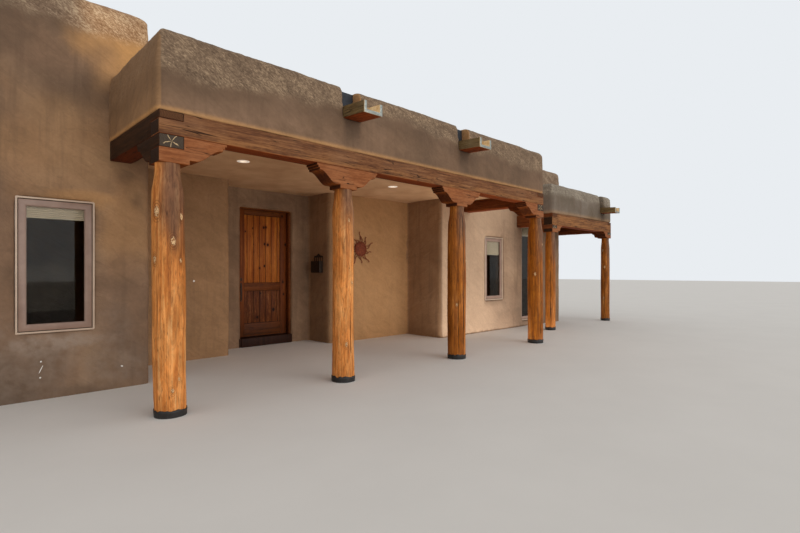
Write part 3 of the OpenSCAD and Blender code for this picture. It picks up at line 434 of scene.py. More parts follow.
# sizes in millimetres; arcs, strokes and swaths: along the wall and down, into it, and across the mark
stuccoValues = {
    "cloud": 1176, "arc": (667, 1000, 227), "sand": 38.5, "grain": 16.67, "run": (111, 1430),
    "bloomCloud": 143, "stroke": (43.5, 90.9, 18.52), "swath": (417, 667, 178.6),
    "tones": ["#6d5745", "#826650", "#93765c"],
    # the warm tint and the pale sunlit tone are colours of painted light, the stain colour also serves for
    # painted shade, and the second grit ramp is the grit as lit
    "runTone": "#66503f", "warm": "#cb9760", "stain": "#4c3e33", "bloom": "#9c8b7c", "faded": "#c5a587",
    "grit": ["#6b5645", "#876f5a", "#b19a7e"], "litGrit": ["#916a48", "#bd926a", "#f0cfa6"],
}
houseStucco = stuccoMaterial("trowelled_stucco", stuccoValues)
# the same coat under its own batch of clay: browner on the portal, greyer on the second roof
portalStucco = stuccoMaterial("portal_stucco", dict(
    stuccoValues, tones=["#685240", "#795f4a", "#866a54"], grit=["#5f4d3d", "#7a6450", "#a58c70"]))
terraceStucco = stuccoMaterial("terrace_stucco", dict(
    stuccoValues, tones=["#655849", "#74675a", "#82766a"], grit=["#6c6053", "#85796a", "#aa9e8c"]))

# grain and patch sizes in millimetres; check and relief: how wide and how deep the drying checks are
outdoorWood = {"short": 0.3, "patch": (455, 455, 455), "underTones": ["#5e240a", "#96471a"]}
# a beam weathered to grey-brown, with its orange stain kept where the eaves shelter it
beamWood = timberMaterial("weathered_beam", {
    **outdoorWood, "axis": 0, "grain": (27.78, 625), "short": 0.25, "roughness": 0.85,
    "tones": ["#42271a", "#623d27", "#7f5435", "#a07450"], "bleach": 0.4, "bleachTone": "#896347",
    "glow": (2.8, 2.92, "#9c6a3e"), "check": 0.011, "checkTone": "#2e1c12", "relief": 0.006,
})
# corbels keep more of the stain; their cut ribs, the faces that look along the corbel, get painted shade,
# nearly black
corbelWood = timberMaterial("weathered_corbel", {
    **outdoorWood, "axis": 0, "grain": (33.33, 500), "roughness": 0.82, "ribs": "#3a190c",
    "tones": ["#66381e", "#844d2c", "#955c37", "#ab714b"], "bleach": 0.4, "bleachTone": "#9f6c49",
    "underTones": ["#541f0a", "#97521d"], "check": 0.008, "checkTone": "#331c10", "relief": 0.004,
})
# beams that run into the house are stained dark brown
sideValues = {
    **outdoorWood, "axis": 1, "grain": (29.41, 909), "roughness": 0.75, "underTones": ["#401606", "#6a2c0d"],
    "tones": ["#1d0f07", "#2d1a0c", "#3b2210", "#50301a"], "bleach": 0.3, "bleachTone": "#4c3120",
    "check": 0.012, "checkTone": "#120905", "relief": 0.005,
}
sideWood = timberMaterial("stained_side_beam", sideValues)
# a lit copy of the same boards: painted light shows their red
litSideWood = timberMaterial("lit_red_side_beam", {
    **sideValues, "tones": ["#3b1a09", "#5a2a10", "#733a18", "#8c5028"], "bleachTone": "#7a4a2c",
    "checkTone": "#1c0d06", "underTones": outdoorWood["underTones"],
})
# rough boards of the spouts, dried to an olive brown
canalWood = timberMaterial("canal_board", {
    **outdoorWood, "axis": 1, "grain": (22.22, 400), "roughness": 0.85,
    "tones": ["#443523", "#664f30", "#77603c", "#947c56"], "bleach": 0.4, "bleachTone": "#8c7a5c",
    "check": 0.02, "checkTone": "#231810", "relief": 0.004,
})
# the door's pine: finer checks; its knots are x, z and size in metres
doorWood = {
    "axis": 2, "grain": (26.32, 714), "roughness": 0.55, "short": 0.25, "patch": (143, 1000, 1111),
    "check": 0.005, "checkTone": "#220e05", "relief": 0.002,
}
# upper boards: orange oiled pine with black knots
boardWood = timberMaterial("knotty_door_board", {
    **doorWood, "grain": (27.78, 714), "roughness": 0.5, "check": 0.004, "checkTone": "#4a2008",
    "tones": ["#723210", "#9b511b", "#b56925", "#cc8640"], "bleach": 0.75, "bleachTone": "#7c3b12",
    "dirt": "#2c1004", "knotTone": "#150703",
    "knots": [(-1.412, 2.332, 0.021), (-1.363, 2.341, 0.019), (-1.39, 2.001, 0.021), (-1.321, 1.987, 0.024),
              (-1.397, 1.56, 0.018), (-1.502, 1.517, 0.017), (-1.651, 2.305, 0.012), (-1.807, 2.234, 0.014)],
})
# lower boards: worn and splashed, with pale scuffs
lowBoardWood = timberMaterial("worn_door_board", {
    **doorWood, "grain": (29.41, 417), "roughness": 0.58, "checkTone": "#2c1206",
    "tones": ["#39190a", "#5a2c11", "#753f1b", "#a97345"], "bleach": 0.6, "bleachTone": "#45200e",
    "dirt": "#241005", "knotTone": "#120602",
    "knots": [(-1.194, 0.675, 0.026), (-1.552, 0.544, 0.02), (-1.48, 1.013, 0.012)],
})
# stiles and rails: the same pine with more hand grease, darkest at the foot
stileWood = timberMaterial("door_stile", {
    **doorWood, "tones": ["#47200c", "#693211", "#7d4018", "#985526"], "bleach": 0.5, "bleachTone": "#4c2410",
    "glow": (0.3, 1.0, "#1c0c05"), "dirt": "#1e0b04", "knotTone": "#150703",
    "knots": [(-1.0, 2.59, 0.02), (-0.93, 2.006, 0.02), (-0.984, 1.23, 0.018), (-0.97, 0.98, 0.016)],
})
railWood = timberMaterial("door_rail", {
    **doorWood, "axis": 0, "tones": ["#421c0a", "#60300f", "#733c15", "#8a4f24"], "bleach": 0.4,
    "bleachTone": "#4c240e", "glow": (0.36, 0.52, "#180b05"), "dirt": "#1e0b04",
})
# lining boards: dark stain, made darker as painted shade for the jamb deep in the doorway
liningWood = timberMaterial("dark_lining_board", {
    **doorWood, "roughness": 0.6, "tones": ["#1a0b04", "#271108", "#33190c", "#432412"], "bleach": 0.3,
    "bleachTone": "#1f0e06", "checkTone": "#0d0502",
})
splitEnd = endGrainMaterial("split_end_grain", {
    "ring": 12, "splits": 5, "tones": ["#40352c", "#564a3e"], "pale": "#c2a67e",
})
beamEnd = endGrainMaterial("sawn_beam_end", {"ring": 14, "tones": ["#4c2f1c", "#6a462c"]})
# end grain dark with stain, and darker still as painted shade
stainedShadedEnd = endGrainMaterial("stained_shaded_beam_end", {"ring": 14, "tones": ["#2a180d", "#3d2615"]})
# width and length of each mark in millimetres
logWood = logMaterial("peeled_pine_log", {
    "streak": (33.33, 667), "blotch": (76.92, 222), "bark": (16.67, 90.9), "broad": (200, 833),
    "split": (58.82, 1111), "mottle": 15.38,
    "tones": ["#7d431c", "#a35f28", "#ba7334", "#cb8c4c"],
    "golden": ["#ad6128", "#d3813c", "#e39853", "#eeb374"],
    "ruddy": ["#643206", "#8a4a0b", "#a45b0f", "#bb751f"], "grey": ["#4d362a", "#775c49"], "fleck": "#5e3419",
    "rim": "#5c3418", "knot": ["#d9b384", "#8a5a30"], "check": "#1d0f08",
})
# bitumen put on with a brush: near black, dull, in soft ridges
tar = plainMaterial("brushed_tar", {"Roughness": 0.55}, 25, "#0e0c0b", "#231d19", 0.5, 0.003)
# plaster finished with a wood float: matt and gently uneven
soffitPlaster = plainMaterial("float_finished_soffit", {"Roughness": 0.92, "Specular IOR Level": 0.2},
                              500, "#c2966e", "#d6ac83", 0.3, 0.008)
# bitumen felt rolled in stone chips: matt grey, speckled
roofFelt = plainMaterial("mineral_roof_felt", {"Roughness": 0.95, "Specular IOR Level": 0.15},
                         33.33, "#6d665d", "#8b847a", 0.4, 0.004)
# the same roofing melted on without chips: blue-black and a little shiny
membrane = plainMaterial("torched_membrane", {"Roughness": 0.7}, 40, "#171a20", "#262b34", 0.3, 0.002)
# fired clay, trodden smooth
claySlab = plainMaterial("clay_tile_floor", {"Roughness": 0.6}, 200, "#7a4d33", "#986446", 0.2, 0.003)
# dipped steel sheet, folded: dull silver with large crystals
zinc = plainMaterial("folded_galvanised_sheet", {"Roughness": 0.45, "Metallic": 0.9},
                     28.57, "#7d807a", "#a3a49b", 0.15, 0.001)
# the same sheet under dried mud from the roof
stainedZinc = plainMaterial("silt_stained_sheet", {"Roughness": 0.7, "Metallic": 0.1},
                            83.33, "#cfa873", "#edd2a2", 0.2, 0.001)
# iron from the forge, oiled black, with hammer marks
iron = plainMaterial("forged_black_iron", {"Roughness": 0.55, "Metallic": 0.6},
                     16.67, "#241b15", "#43352a", 0.5, 0.001)
# sheet iron left to rust: matt, red in patches
rust = plainMaterial("rusted_sheet_iron", {"Roughness": 0.8, "Metallic": 0.15},
                     22.22, "#5c2817", "#8f4526", 0.4, 0.001)
# sprayed and baked enamel: smooth and even, with a soft shine
cladding = plainMaterial("baked_clad_enamel", {"Roughness": 0.4}, 125, "#866a5a", "#927665", 0.05, 0.0005)
casingPaint = plainMaterial("pale_casing_enamel", {"Roughness": 0.45}, 125, "#b59c86", "#c1a992", 0.05,
                            0.0005)
# pressed polyester cloth: white, matt and soft
shadeCloth = plainMaterial("pleated_shade", {"Roughness": 0.9}, 50, "#e2dfd8", "#eeebe5", 0.1, 0.001)
# white trim round a ceiling lamp, given a faint warm glow
enamel = plainMaterial("white_enamel_trim", {
    "Roughness": 0.35, "Emission Color": "#ffe6cc", "Emission Strength": 0.4,
}, 66.67, "#e6e2da", "#efece6", 0.05, 0.0005)
# clear float glass, slightly bronzed, thin enough to bend nothing
glass = newMaterial("window_float_glass", {
    "Base Color": "#b8ae9c", "Roughness": 0.0, "Transmission Weight": 1.0, "IOR": 1.2,
})[0]
print("materials made")


# Windows: a clad casing let into the stucco, a mitred sash, glass and a pleated shade

# each ring's growth past the window's box, border, depth, bevel and set-back; the flange is a wider ring
# behind the casing, buried in the stucco, and the bead runs round the glass
windowRings = {
    "casing": (0.004, 0.02, 0.09, 0.002, -0.006), "flange": (0.07, 0.05, 0.03, 0.002, 0.03),
    "sash": (-0.052, 0.069, 0.05, 0.004, 0.008), "bead": (-0.186, 0.009, 0.012, 0.002, 0.02),
}
windowValues = {
    "sightEdge": 0.095, "rebate": 0.01, "glassFront": 0.034, "glassBack": 0.044, "shadeBack": 0.054,
    "shadeLap": 0.01, "shadeCloth": 0.002, "drop": 0.1, "lowDrop": 0.25, "pleat": 0.02, "fold": 0.007,
}


def ringPiece(width, height, growth, border, depth, bevel, back):
    # a picture-frame ring round the window's middle, its front set back by that much
    bpy.ops.mesh.primitive_plane_add(size=1, rotation=(math.radians(90), 0, 0))
    ring = bpy.context.object
    ring.scale = (width + growth, height + growth, 1)
    with editing(settle(ring)):
        bpy.ops.mesh.inset(thickness=border)
        bpy.ops.mesh.delete(type="FACE")
        bpy.ops.mesh.select_all(action="SELECT")
        bpy.ops.mesh.extrude_region_move(TRANSFORM_OT_translate={"value": (0, depth, 0)})
        bpy.ops.mesh.select_all(action="SELECT")
        bpy.ops.mesh.normals_make_consistent(inside=False)
    applyModifier(ring, "BEVEL", width=bevel, segments=2)
    ring.location.y = back
    return settle(ring)


def windowPieces(low, high):
    # casing, sash, glass and shade of one window, its front turned to the outside of its wall
    v = windowValues
    size, middle = high - low, (low + high) / 2
    if size.y < size.x:
        turn = 0 if middle.y < 0 else math.pi
    else:
        turn = -math.pi / 2 if middle.x < 0 else math.pi / 2
    width, height = max(size.x, size.y), size.z
    rings = {name: ringPiece(width, height, *values) for name, values in windowRings.items()}
    casing = joinPieces([rings["casing"], rings["flange"]], "casing")
    sash = joinPieces([rings["sash"], rings["bead"]], "sash")
    across, tall = width - 2 * v["sightEdge"], height - 2 * v["sightEdge"]
    reach = Vector((across / 2 + v["rebate"], 0, tall / 2 + v["rebate"]))
    pane = makeBoard(Vector((0, v["glassFront"], 0)) - reach, Vector((0, v["glassBack"], 0)) + reach, 0.001)
    # the shade is drawn lower on the right-hand block's window
    drop = tall * (v["lowDrop"] if turn == 0 and middle.x > 0 and height < 2 else v["drop"])
    bpy.ops.mesh.primitive_grid_add(x_subdivisions=1, y_subdivisions=max(2, int(drop / v["pleat"]) * 2),
                                    size=1, rotation=(math.radians(90), 0, 0))
    shade = bpy.context.object
    shade.scale = (across + v["shadeLap"], drop, 1)
    shade.location = (0, v["shadeBack"], (tall - drop) / 2)
    settle(shade)
    levels = sorted({round(vertex.co.z, 5) for vertex in shade.data.vertices})
    for vertex in shade.data.vertices:
        vertex.co.y += v["fold"] * (levels.index(round(vertex.co.z, 5)) % 2)
    applyModifier(shade, "SOLIDIFY", thickness=v["shadeCloth"], offset=0)
    for piece in (casing, sash, pane, shade):
        piece.rotation_euler.z = turn
        piece.location = middle + Vector((math.sin(turn), -math.cos(turn), 0)) * min(size.x, size.y) / 2
        settle(piece)
    return casing, sash, pane, shade


casings, sashes, panes, shades = zip(*[windowPieces(*box) for box in looseBoxes("window_frames")])
for group, name, paint in ((casings, "windowCasings", casingPaint), (sashes, "windowSashes", cladding)):
    frames = joinPieces(group, name)
    smoothShade(frames)
    handOver(frames, [paint], ["window_frames"])
windowPanes = joinPieces(panes, "windowPanes")
windowPanes.visible_shadow = False
handOver(windowPanes, [glass], ["window_glass"])
handOver(joinPieces(shades, "windowShades"), [shadeCloth])
print("windows made")


# Stuccoed walls and parapets

openings = frame["record"]["physics"]["openings"]
rooms = [opening["box_m"] for opening in openings if opening["name"].endswith("room")]
spoutBoxes = looseBoxes("canales")
# waves of the stucco: where, size and height; the coarse ones are the coat worked by hand
stuccoWaves = [("outside", 0.8, 0.022), ("outside", 0.2, 0.007), ("coarse", 0.06, 0.009)]
plasterValues = {"skirt": 0.1, "lap": 0.018, "buried": 0.04}
# clouds on the left-hand block's front wall: x, z, half width, half height, strength; the warm ones are
# painted sunlight, the stain ones are painted shade high up and round the window and a darkening towards the
# foot, and the bloom ones are pale salt
wallClouds = {
    "warm": [(-4.4, 4.35, 0.75, 0.75, 1.0), (-5.15, 2.9, 1.2, 0.8, 0.25), (-4.9, 2.33, 0.55, 0.14, 0.5),
             (-4.45, 2.1, 0.4, 0.8, 0.35)],
    "stain": [(-5.0, 3.62, 0.8, 0.32, 0.4), (-5.95, 4.2, 0.85, 0.5, 0.42), (-4.47, 2.64, 0.12, 0.09, 0.35),
              (-4.34, 2.33, 0.08, 0.1, 0.5), (-5.4, 0.02, 1.8, 0.16, 0.5), (-5.9, 0.3, 1.2, 0.5, 0.35),
              (-4.5, 0.35, 0.6, 0.5, 0.3), (-5.6, 3.2, 0.5, 0.5, 0.2)],
    "bloom": [(-5.2, 0.62, 0.75, 0.16, 0.65), (-4.62, 0.75, 0.35, 0.5, 0.2), (-5.6, 0.45, 1.2, 0.55, 0.3),
              (-4.6, 0.3, 0.6, 0.4, 0.3)],
}
# how far the coarse coat comes down the portal's front, at places from left to right
portalBand = [(-4.7, 0.46), (-4.1, 0.48), (-3.3, 0.44), (-2.6, 0.36), (-1.4, 0.27), (-0.5, 0.38), (1.2, 0.41),
              (2.8, 0.5)]
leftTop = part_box("left_front_wall")[1].z
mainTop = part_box("hall_wall")[1].z
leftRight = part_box("left_return_wall")[1].x
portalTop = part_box("portal_front_parapet")[1].z
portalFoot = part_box("portal_front_parapet")[0].z
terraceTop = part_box("terrace_cross_parapets")[1].z
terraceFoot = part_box("terrace_cross_parapets")[0].z
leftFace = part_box("left_front_wall")[0].y
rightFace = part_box("right_front_wall")[0].y
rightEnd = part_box("right_side_wall")[1].x
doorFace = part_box("door_side_walls")[0].y


def inRoom(co):
    return any(low[0] - 0.06 < co.x < high[0] + 0.06 and low[1] - 0.06 < co.y < high[1] + 0.06
               and co.z < high[2] + 0.06 for low, high in rooms)


def along(pairs, x):
    # value at x on a line through the pairs
    for (x0, v0), (x1, v1) in zip(pairs, pairs[1:]):
        if x < x1:
            return v0 + (v1 - v0) * min(max((x - x0) / (x1 - x0), 0), 1)
    return pairs[-1][1]


def overBand(co, top, band):
    # height over the ragged lower edge of the coarse coat
    ragged = 0.2 * noise.noise(Vector((co.x * 1.3, co.y * 1.3, 3))) + 0.16 * noise.noise(co * 5)
    return co.z - (top - band * (1 + ragged))


def cloudShare(kind, co):
    if co.y > leftFace + 0.1 or co.x > leftRight:
        return 0
    most = 0
    for x, z, wide, tall, strength in wallClouds[kind]:
        away = math.hypot((co.x - x) / wide, (co.z - z) / tall) + 0.35 * noise.noise(co * 3)
        most = max(most, strength * smoothStep(1.1, 0.3, away))
    return most


def spoutStain(co):
    # dark runs on the wall below each spout
    most = 0
    for low, high in spoutBoxes:
        wall = low.y + 0.43 if low.y < 0 else high.y - 0.43
        if abs(co.y - wall) < 0.12 and co.z < low.z + 0.05:
            side = abs(co.x - (low.x + high.x) / 2) + 0.06 * noise.noise(Vector((co.x * 9, 0, co.z * 2)))
            run = smoothStep(0.22, 0.06, side) * smoothStep(low.z - 0.5, low.z - 0.05, co.z)
            most = max(most, run * 0.6)
    return most


def porchBounceLight(co, normal):
    # painted bounce light: the walls under the portal are tinted warmer and lighter, most of all the ornament
    # wall with the iron sun
    if co.z > portalFoot + 0.1 or co.y > -0.5 or co.y < rightFace - 0.02 or not leftRight < co.x < 1.9:
        return 0
    if normal.y > -0.6:
        return 0.2
    if co.y > doorFace - 0.05 or co.y < rightFace + 0.05:
        return 0.03
    return 0.56 if co.x > -0.2 else 0.28


def paintedSunlight(co, normal):
    # painted sunlight: the right-hand block's front is paler near the portal, on the faces that look forward
    if co.y > rightFace + 0.1 or co.x < 1.6:
        return 0
    return 0.78 * smoothStep(5.6, 2.8, co.x + 0.6 * noise.noise(co * 1.5)) * smoothStep(-0.6, -0.95, normal.y)


def portalLipAndLight(co, normal):
    # an orange lip over the beam, partly its own colour and partly painted bounce light; painted sunlight on
    # the cheeks of the spouts' notches and on the left-facing sides
    for low, high in spoutBoxes:
        if low.y < portalCorner.y and low.x - 0.2 < co.x < high.x + 0.2 and normal.x < -0.5 and co.z > high.z:
            return 0.8
    return 0.6 * smoothStep(portalFoot + 0.06, portalFoot + 0.005, co.z) + 0.3 * (normal.x < -0.6)


def squareDoorway(piece):
    # the stucco turns square into the doorway and laps over the lining's edge
    low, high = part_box("door_frame")
    for vertex in piece.data.vertices:
        co = vertex.co
        deep = co.y - doorFace
        if not (-0.03 < deep < 0.25 and low.x - 0.05 < co.x < high.x + 0.05 and co.z < high.z + 0.05):
            continue
        lap = plasterValues["lap"] * smoothStep(0.005, 0.03, deep)
        planes = (low.x + lap, high.x, high.z - lap)
        gaps = (co.x - planes[0], planes[1] - co.x, planes[2] - co.z)
        nearest = gaps.index(min(gaps))
        if gaps[nearest] > 0 or (deep > 0.02 and gaps[nearest] > -0.05):
            vertex.co[2 if nearest == 2 else 0] = planes[nearest]


def plasterPiece(name, nodeNames, values):
    # the voxels make one skin round walls that meet
    def aboveEdge(co):
        return overBand(co, values["top"](co), values["band"](co))

    def coarseCoat(co):
        # 1 where the coarse coat covers the top of the wall
        return smoothStep(-0.05, 0.1, aboveEdge(co))

    piece = joinPieces([nodeCopy(node) for node in nodeNames], name)
    for vertex in piece.data.vertices:
        for axis, plane, shift in values["push"]:
            if abs(vertex.co[axis] - plane) < 0.002:
                vertex.co[axis] += shift
    applyModifier(piece, "REMESH", mode="VOXEL", voxel_size=values["voxel"])
    applyModifier(piece, "SMOOTH", factor=0.5, iterations=values["soften"])
    groups = {kind: piece.vertex_groups.new(name=kind) for kind in ("outside", "coarse")}
    for vertex in piece.data.vertices:
        if inRoom(vertex.co):
            continue
        groups["outside"].add([vertex.index], 1.0, "REPLACE")
        share = coarseCoat(vertex.co)
        if share > 0.01:
            groups["coarse"].add([vertex.index], share, "REPLACE")
    for group, size, strength in stuccoWaves:
        texture = bpy.data.textures.new(name + group, "CLOUDS")
        texture.noise_scale = size
        texture.noise_depth = 2
        applyModifier(piece, "DISPLACE", texture=texture, strength=strength, mid_level=0.5,
                      texture_coords="LOCAL", vertex_group=group)
    triangles = sum(len(face.vertices) - 2 for face in piece.data.polygons)
    if triangles > values["most"]:
        applyModifier(piece, "DECIMATE", ratio=values["most"] / triangles)
    onGround = values.get("ground")
    if onGround:
        with editing(piece):
            bpy.ops.mesh.bisect(plane_co=(0, 0, 0), plane_no=(0, 0, 1), clear_inner=True, use_fill=True)
    # nothing swells out past the house's own box
    for vertex in piece.data.vertices:
        for axis in range(3):
            vertex.co[axis] = min(max(vertex.co[axis], cadBounds[0][axis]), cadBounds[1][axis])
    shares = {kind: [] for kind in ("rough", "warm", "stain", "bloom", "faded")}
    for vertex in piece.data.vertices:
        co, normal = vertex.co, vertex.normal
        coat = 0 if inRoom(co) else coarseCoat(co)
        if values.get("plainSide") and normal.x < -0.6:
            coat *= 0.25
        clouds = {kind: cloudShare(kind, co) if onGround else 0 for kind in wallClouds}
        shade = values.get("bandShade", 0) * smoothStep(-0.3, -0.04, aboveEdge(co)) * (1 - coat)
        shares["rough"].append(coat)
        # the warm share is painted light: bounce under the portal, sunlight on the left wall and the notches,
        # and the parapets' lips, partly their own orange
        shares["warm"].append(max(values["warm"](co, normal), clouds["warm"]))
        # the stain share holds the spouts' runs, painted shade under the coarse band and on the left wall,
        # and a darkening towards the foot
        shares["stain"].append(max(spoutStain(co), clouds["stain"], shade))
        shares["bloom"].append(clouds["bloom"])
        # painted sunlight on the right-hand block's front
        shares["faded"].append(values["faded"](co, normal) if "faded" in values else 0)
    setAttributes(piece, shares)
    piece.vertex_groups.clear()
    smoothShade(piece, 60)
    if onGround:
        squareDoorway(piece)
    handOver(piece, [values["coat"]], nodeNames)
    print(name, len(piece.data.polygons), "faces")
    return piece


# parapets are pushed a little into the walls they meet, and the walls start out below the ground
buried = plasterValues["buried"]
walls = plasterPiece("houseWalls", [
    "left_front_wall", "left_side_wall", "left_back_wall", "left_return_wall", "roof_step_wall", "hall_wall",
    "recess_left_wall", "door_side_walls", "door_lintel_wall", "recess_right_wall", "ornament_wall",
    "portal_end_wall", "right_front_wall", "right_side_wall", "back_wall",
], {
    "coat": houseStucco, "push": [(2, 0.0, -plasterValues["skirt"])], "voxel": 0.034, "soften": 4,
    "top": lambda co: leftTop if co.x < leftRight + 0.05 else mainTop, "band": lambda co: 0.42,
    "most": 195000, "ground": True, "warm": porchBounceLight, "faded": paintedSunlight,
})
plasterPiece("portalParapets", ["portal_front_parapet", "portal_side_parapets"], {
    "coat": portalStucco, "push": [(1, leftFace, buried), (1, rightFace, buried)], "voxel": 0.019,
    "soften": 5, "top": lambda co: portalTop, "band": lambda co: along(portalBand, co.x), "most": 180000,
    "warm": portalLipAndLight, "plainSide": True, "bandShade": 0.3,
})
plasterPiece("terraceParapets", ["terrace_cross_parapets", "terrace_side_parapets"], {
    "coat": terraceStucco, "push": [(1, rightFace, buried), (0, rightEnd, -buried)], "voxel": 0.026,
    "soften": 4, "top": lambda co: terraceTop, "band": lambda co: 0.3, "most": 110000,
    # a warm lip at the parapets' foot, partly its own colour and partly painted bounce light
    "warm": lambda co, normal: 0.3 * smoothStep(terraceFoot + 0.12, terraceFoot, co.z),
})

# small chips where the stucco was knocked, thin pale flakes on the wall: x, y, z, half width, half height
chips = []
for x, y, z, wide, tall in ((-3.123, -1.559, 1.293, 0.016, 0.016), (-4.522, -2.854, 0.27, 0.014, 0.009),
                            (-5.343, -2.854, 0.43, 0.008, 0.01), (-5.345, -2.854, 0.34, 0.004, 0.05),
                            (-5.35, -2.854, 0.25, 0.009, 0.009)):
    hit, place = walls.ray_cast(Vector((x, y - 0.3, z)), Vector((0, 1, 0)))[:2]
    bpy.ops.mesh.primitive_cylinder_add(vertices=9, radius=1, depth=0.004)
    chip = bpy.context.object
    chip.location = place if hit else (x, y, z)
    chip.rotation_euler = (math.radians(90), 0.4, 0)
    chip.scale = (wide, tall, 1)
    for vertex in chip.data.vertices:
        vertex.co.xy *= 1 + 0.4 * noise.noise(Vector((vertex.co.x * 2, vertex.co.y * 2, x * 9)))
    chips.append(settle(chip))
handOver(joinPieces(chips, "plasterChips"), [shadeCloth])
print("stucco made")


# Soffits, roofs and floor

for node, material in (("portal_roof", soffitPlaster), ("terrace_roof", soffitPlaster),
                       ("roof_decks", roofFelt), ("floor_slab", claySlab)):
    nodes[node].data.materials.clear()
    nodes[node].data.materials.append(material)

# the roofs' top faces lifted off as sheets of felt
for node, name in (("portal_roof", "portalFelt"), ("terrace_roof", "terraceFelt")):
    sheet = nodeCopy(node, name)
    top = max(vertex.co.z for vertex in sheet.data.vertices)
    with editing(sheet, faces=lambda face: face.center.z <= top - 0.01 or face.normal.z <= 0.9):
        bpy.ops.mesh.delete(type="FACE")
    applyModifier(sheet, "SOLIDIFY", thickness=0.006, offset=1)
    handOver(sheet, [roofFelt])


# Beams and corbels

def markEnds(piece, axis):
    # end faces get the end grain and a map that is centred on each of them
    layer = piece.data.uv_layers.new(name="ends")
    for face in piece.data.polygons:
        if abs(face.normal[axis]) > 0.95 and face.area > 0.008:
            face.material_index = 1
        centre = face.center
        for loop in face.loop_indices:
            co = piece.data.vertices[piece.data.loops[loop].vertex_index].co
            layer.data[loop].uv = (co[1 - axis] - centre[1 - axis], co.z - centre.z)


def bendTimber(piece, axis, step, wave):
    # rings of edges every step, then a slow wander of the long faces
    reach = [vertex.co[axis] for vertex in piece.data.vertices]
    low, high = min(reach), max(reach)
    count = int((high - low) / step)
    normal = Vector([float(i == axis) for i in range(3)])
    with editing(piece):
        for i in range(1, count):
            bpy.ops.mesh.select_all(action="SELECT")
            bpy.ops.mesh.bisect(plane_co=normal * (low + (high - low) * i / count), plane_no=normal)
    most, seed = (wave, 2) if axis == 0 else (wave / 2, 7)
    for vertex in piece.data.vertices:
        co = vertex.co
        side = most * noise.noise(Vector((co[axis] * 1.3, co.z * 4, seed)))
        lift = wave * noise.noise(Vector((co[axis] * 1.1, co.y * 4, 5)))
        co[1 - axis] += side
        co.z += lift


beamValues = {"bevel": 0.009, "slice": 0.12, "wave": 0.006}
corbelValues = {"bevel": 0.006}
crossBeam = (0, beamValues, "weathered_timber", beamWood, stainedShadedEnd)
sideBeam = (1, beamValues, "stained_timber", sideWood, beamEnd)
frontCorbel = (0, corbelValues, "weathered_timber", corbelWood, stainedShadedEnd)
returnCorbel = (1, corbelValues, "stained_timber", sideWood, splitEnd)
for node, (axis, values, slotName, wood, end) in (
        ("front_beam", crossBeam), ("side_beams", sideBeam), ("terrace_cross_beams", crossBeam),
        ("terrace_side_beams", sideBeam), ("front_corbels", frontCorbel), ("return_corbels", returnCorbel),
        ("terrace_corbels", frontCorbel), ("terrace_return_corbels", returnCorbel)):
    piece = nodeCopy(node)
    easeEdges(piece, values["bevel"])
    markEnds(piece, axis)
    if "wave" in values:
        bendTimber(piece, axis, values["slice"], values["wave"])
    smoothShade(piece)
    if wood == sideWood:
        # painted light: the portal's right end and the second roof get the lit, redder copy of the stain
        for face in piece.data.polygons:
            if face.material_index == 0 and face.center.x > 0:
                face.material_index = 2
    handOver(piece, [wood, end, litSideWood], [node])
print("timber made")


# Log columns with their black feet

logValues = {
    "trim": 0.006, "neckIn": 0.027, "thinNeckIn": 0.018, "neckLength": 0.32, "stroke": 0.005, "facet": 0.003,
    "fibre": 0.0015, "checkDepth": 0.009, "wander": 0.01, "lean": 0.03, "weatherSide": math.radians(-72),
    "paintedLitSide": math.radians(-168), "bandOut": 0.004, "bandRagged": 0.018,
}
# knots: height, bearing, size; checks: bearing, from, to, width; looks of each log in the portal: swell,
# redness, and the height below which it is golden
knotLists = {
    1: [(2.04, -152, 0.025), (1.75, -92, 0.02), (1.57, -162, 0.017), (1.56, -64, 0.011), (2.0, -55, 0.017),
        (0.27, -100, 0.012), (0.38, -75, 0.01), (1.05, 40, 0.03), (1.9, 120, 0.028)],
    2: [(2.12, -98, 0.012), (1.3, -70, 0.012), (0.5, -110, 0.016), (1.6, 60, 0.03)],
    3: [(1.62, -60, 0.018), (0.9, -140, 0.014), (1.2, 80, 0.028)],
    4: [(1.4, -150, 0.018), (2.0, -80, 0.014), (0.7, 30, 0.03)],
}
checkLists = {
    1: [(60, 0.3, 1.3, 0.005)],
    2: [(-80, 0.3, 1.2, 0.004), (50, 0.1, 1.1, 0.005)],
    3: [(-92, 0.15, 2.5, 0.011), (-130, 0.1, 1.2, 0.006)],
    4: [(-105, 0.1, 1.6, 0.006), (-70, 0.9, 2.2, 0.006)],
}
logLooks = {1: (0.012, 0.0, 1.3), 2: (-0.005, 0.0, 2.3), 3: (0.01, 0.8, 1.0), 4: (0.008, 1.0, 0.6)}


def turnTo(angle, bearing):
    # from a bearing to an angle, the shorter way round
    return (angle - bearing + math.pi) % (2 * math.pi) - math.pi


def logRadius(z, height, foot, neck, swell):
    shaft = foot + swell * math.sin(math.pi * min(z / (height * 0.92), 1)) ** 0.8
    flare = 0.003 * smoothStep(0.0, 0.09, z) * smoothStep(0.5, 0.1, z)
    share = smoothStep(height - logValues["neckLength"], height - 0.05, z)
    return (shaft + flare) * (1 - share) + neck * share


def tarBand(log, x, y, seed):
    # the log's own foot, grown a little, with a ragged upper edge
    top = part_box("column_collars")[1].z
    band = newObject("band", log.data.copy())
    with editing(band):
        bpy.ops.mesh.bisect(plane_co=(0, 0, top), plane_no=(0, 0, 1), clear_outer=True)
    with editing(band, faces=lambda face: abs(face.normal.z) > 0.9):
        bpy.ops.mesh.delete(type="FACE")
    for vertex in band.data.vertices:
        around = (vertex.co - Vector((x, y, vertex.co.z))).normalized()
        if vertex.co.z > top - 0.002:
            ragged = noise.noise(around * 3.5 + Vector((0, 0, seed)))
            vertex.co.z += logValues["bandRagged"] * ragged - 0.002
        vertex.co += around * logValues["bandOut"]
    applyModifier(band, "SOLIDIFY", thickness=2 * logValues["bandOut"], offset=0)
    return band


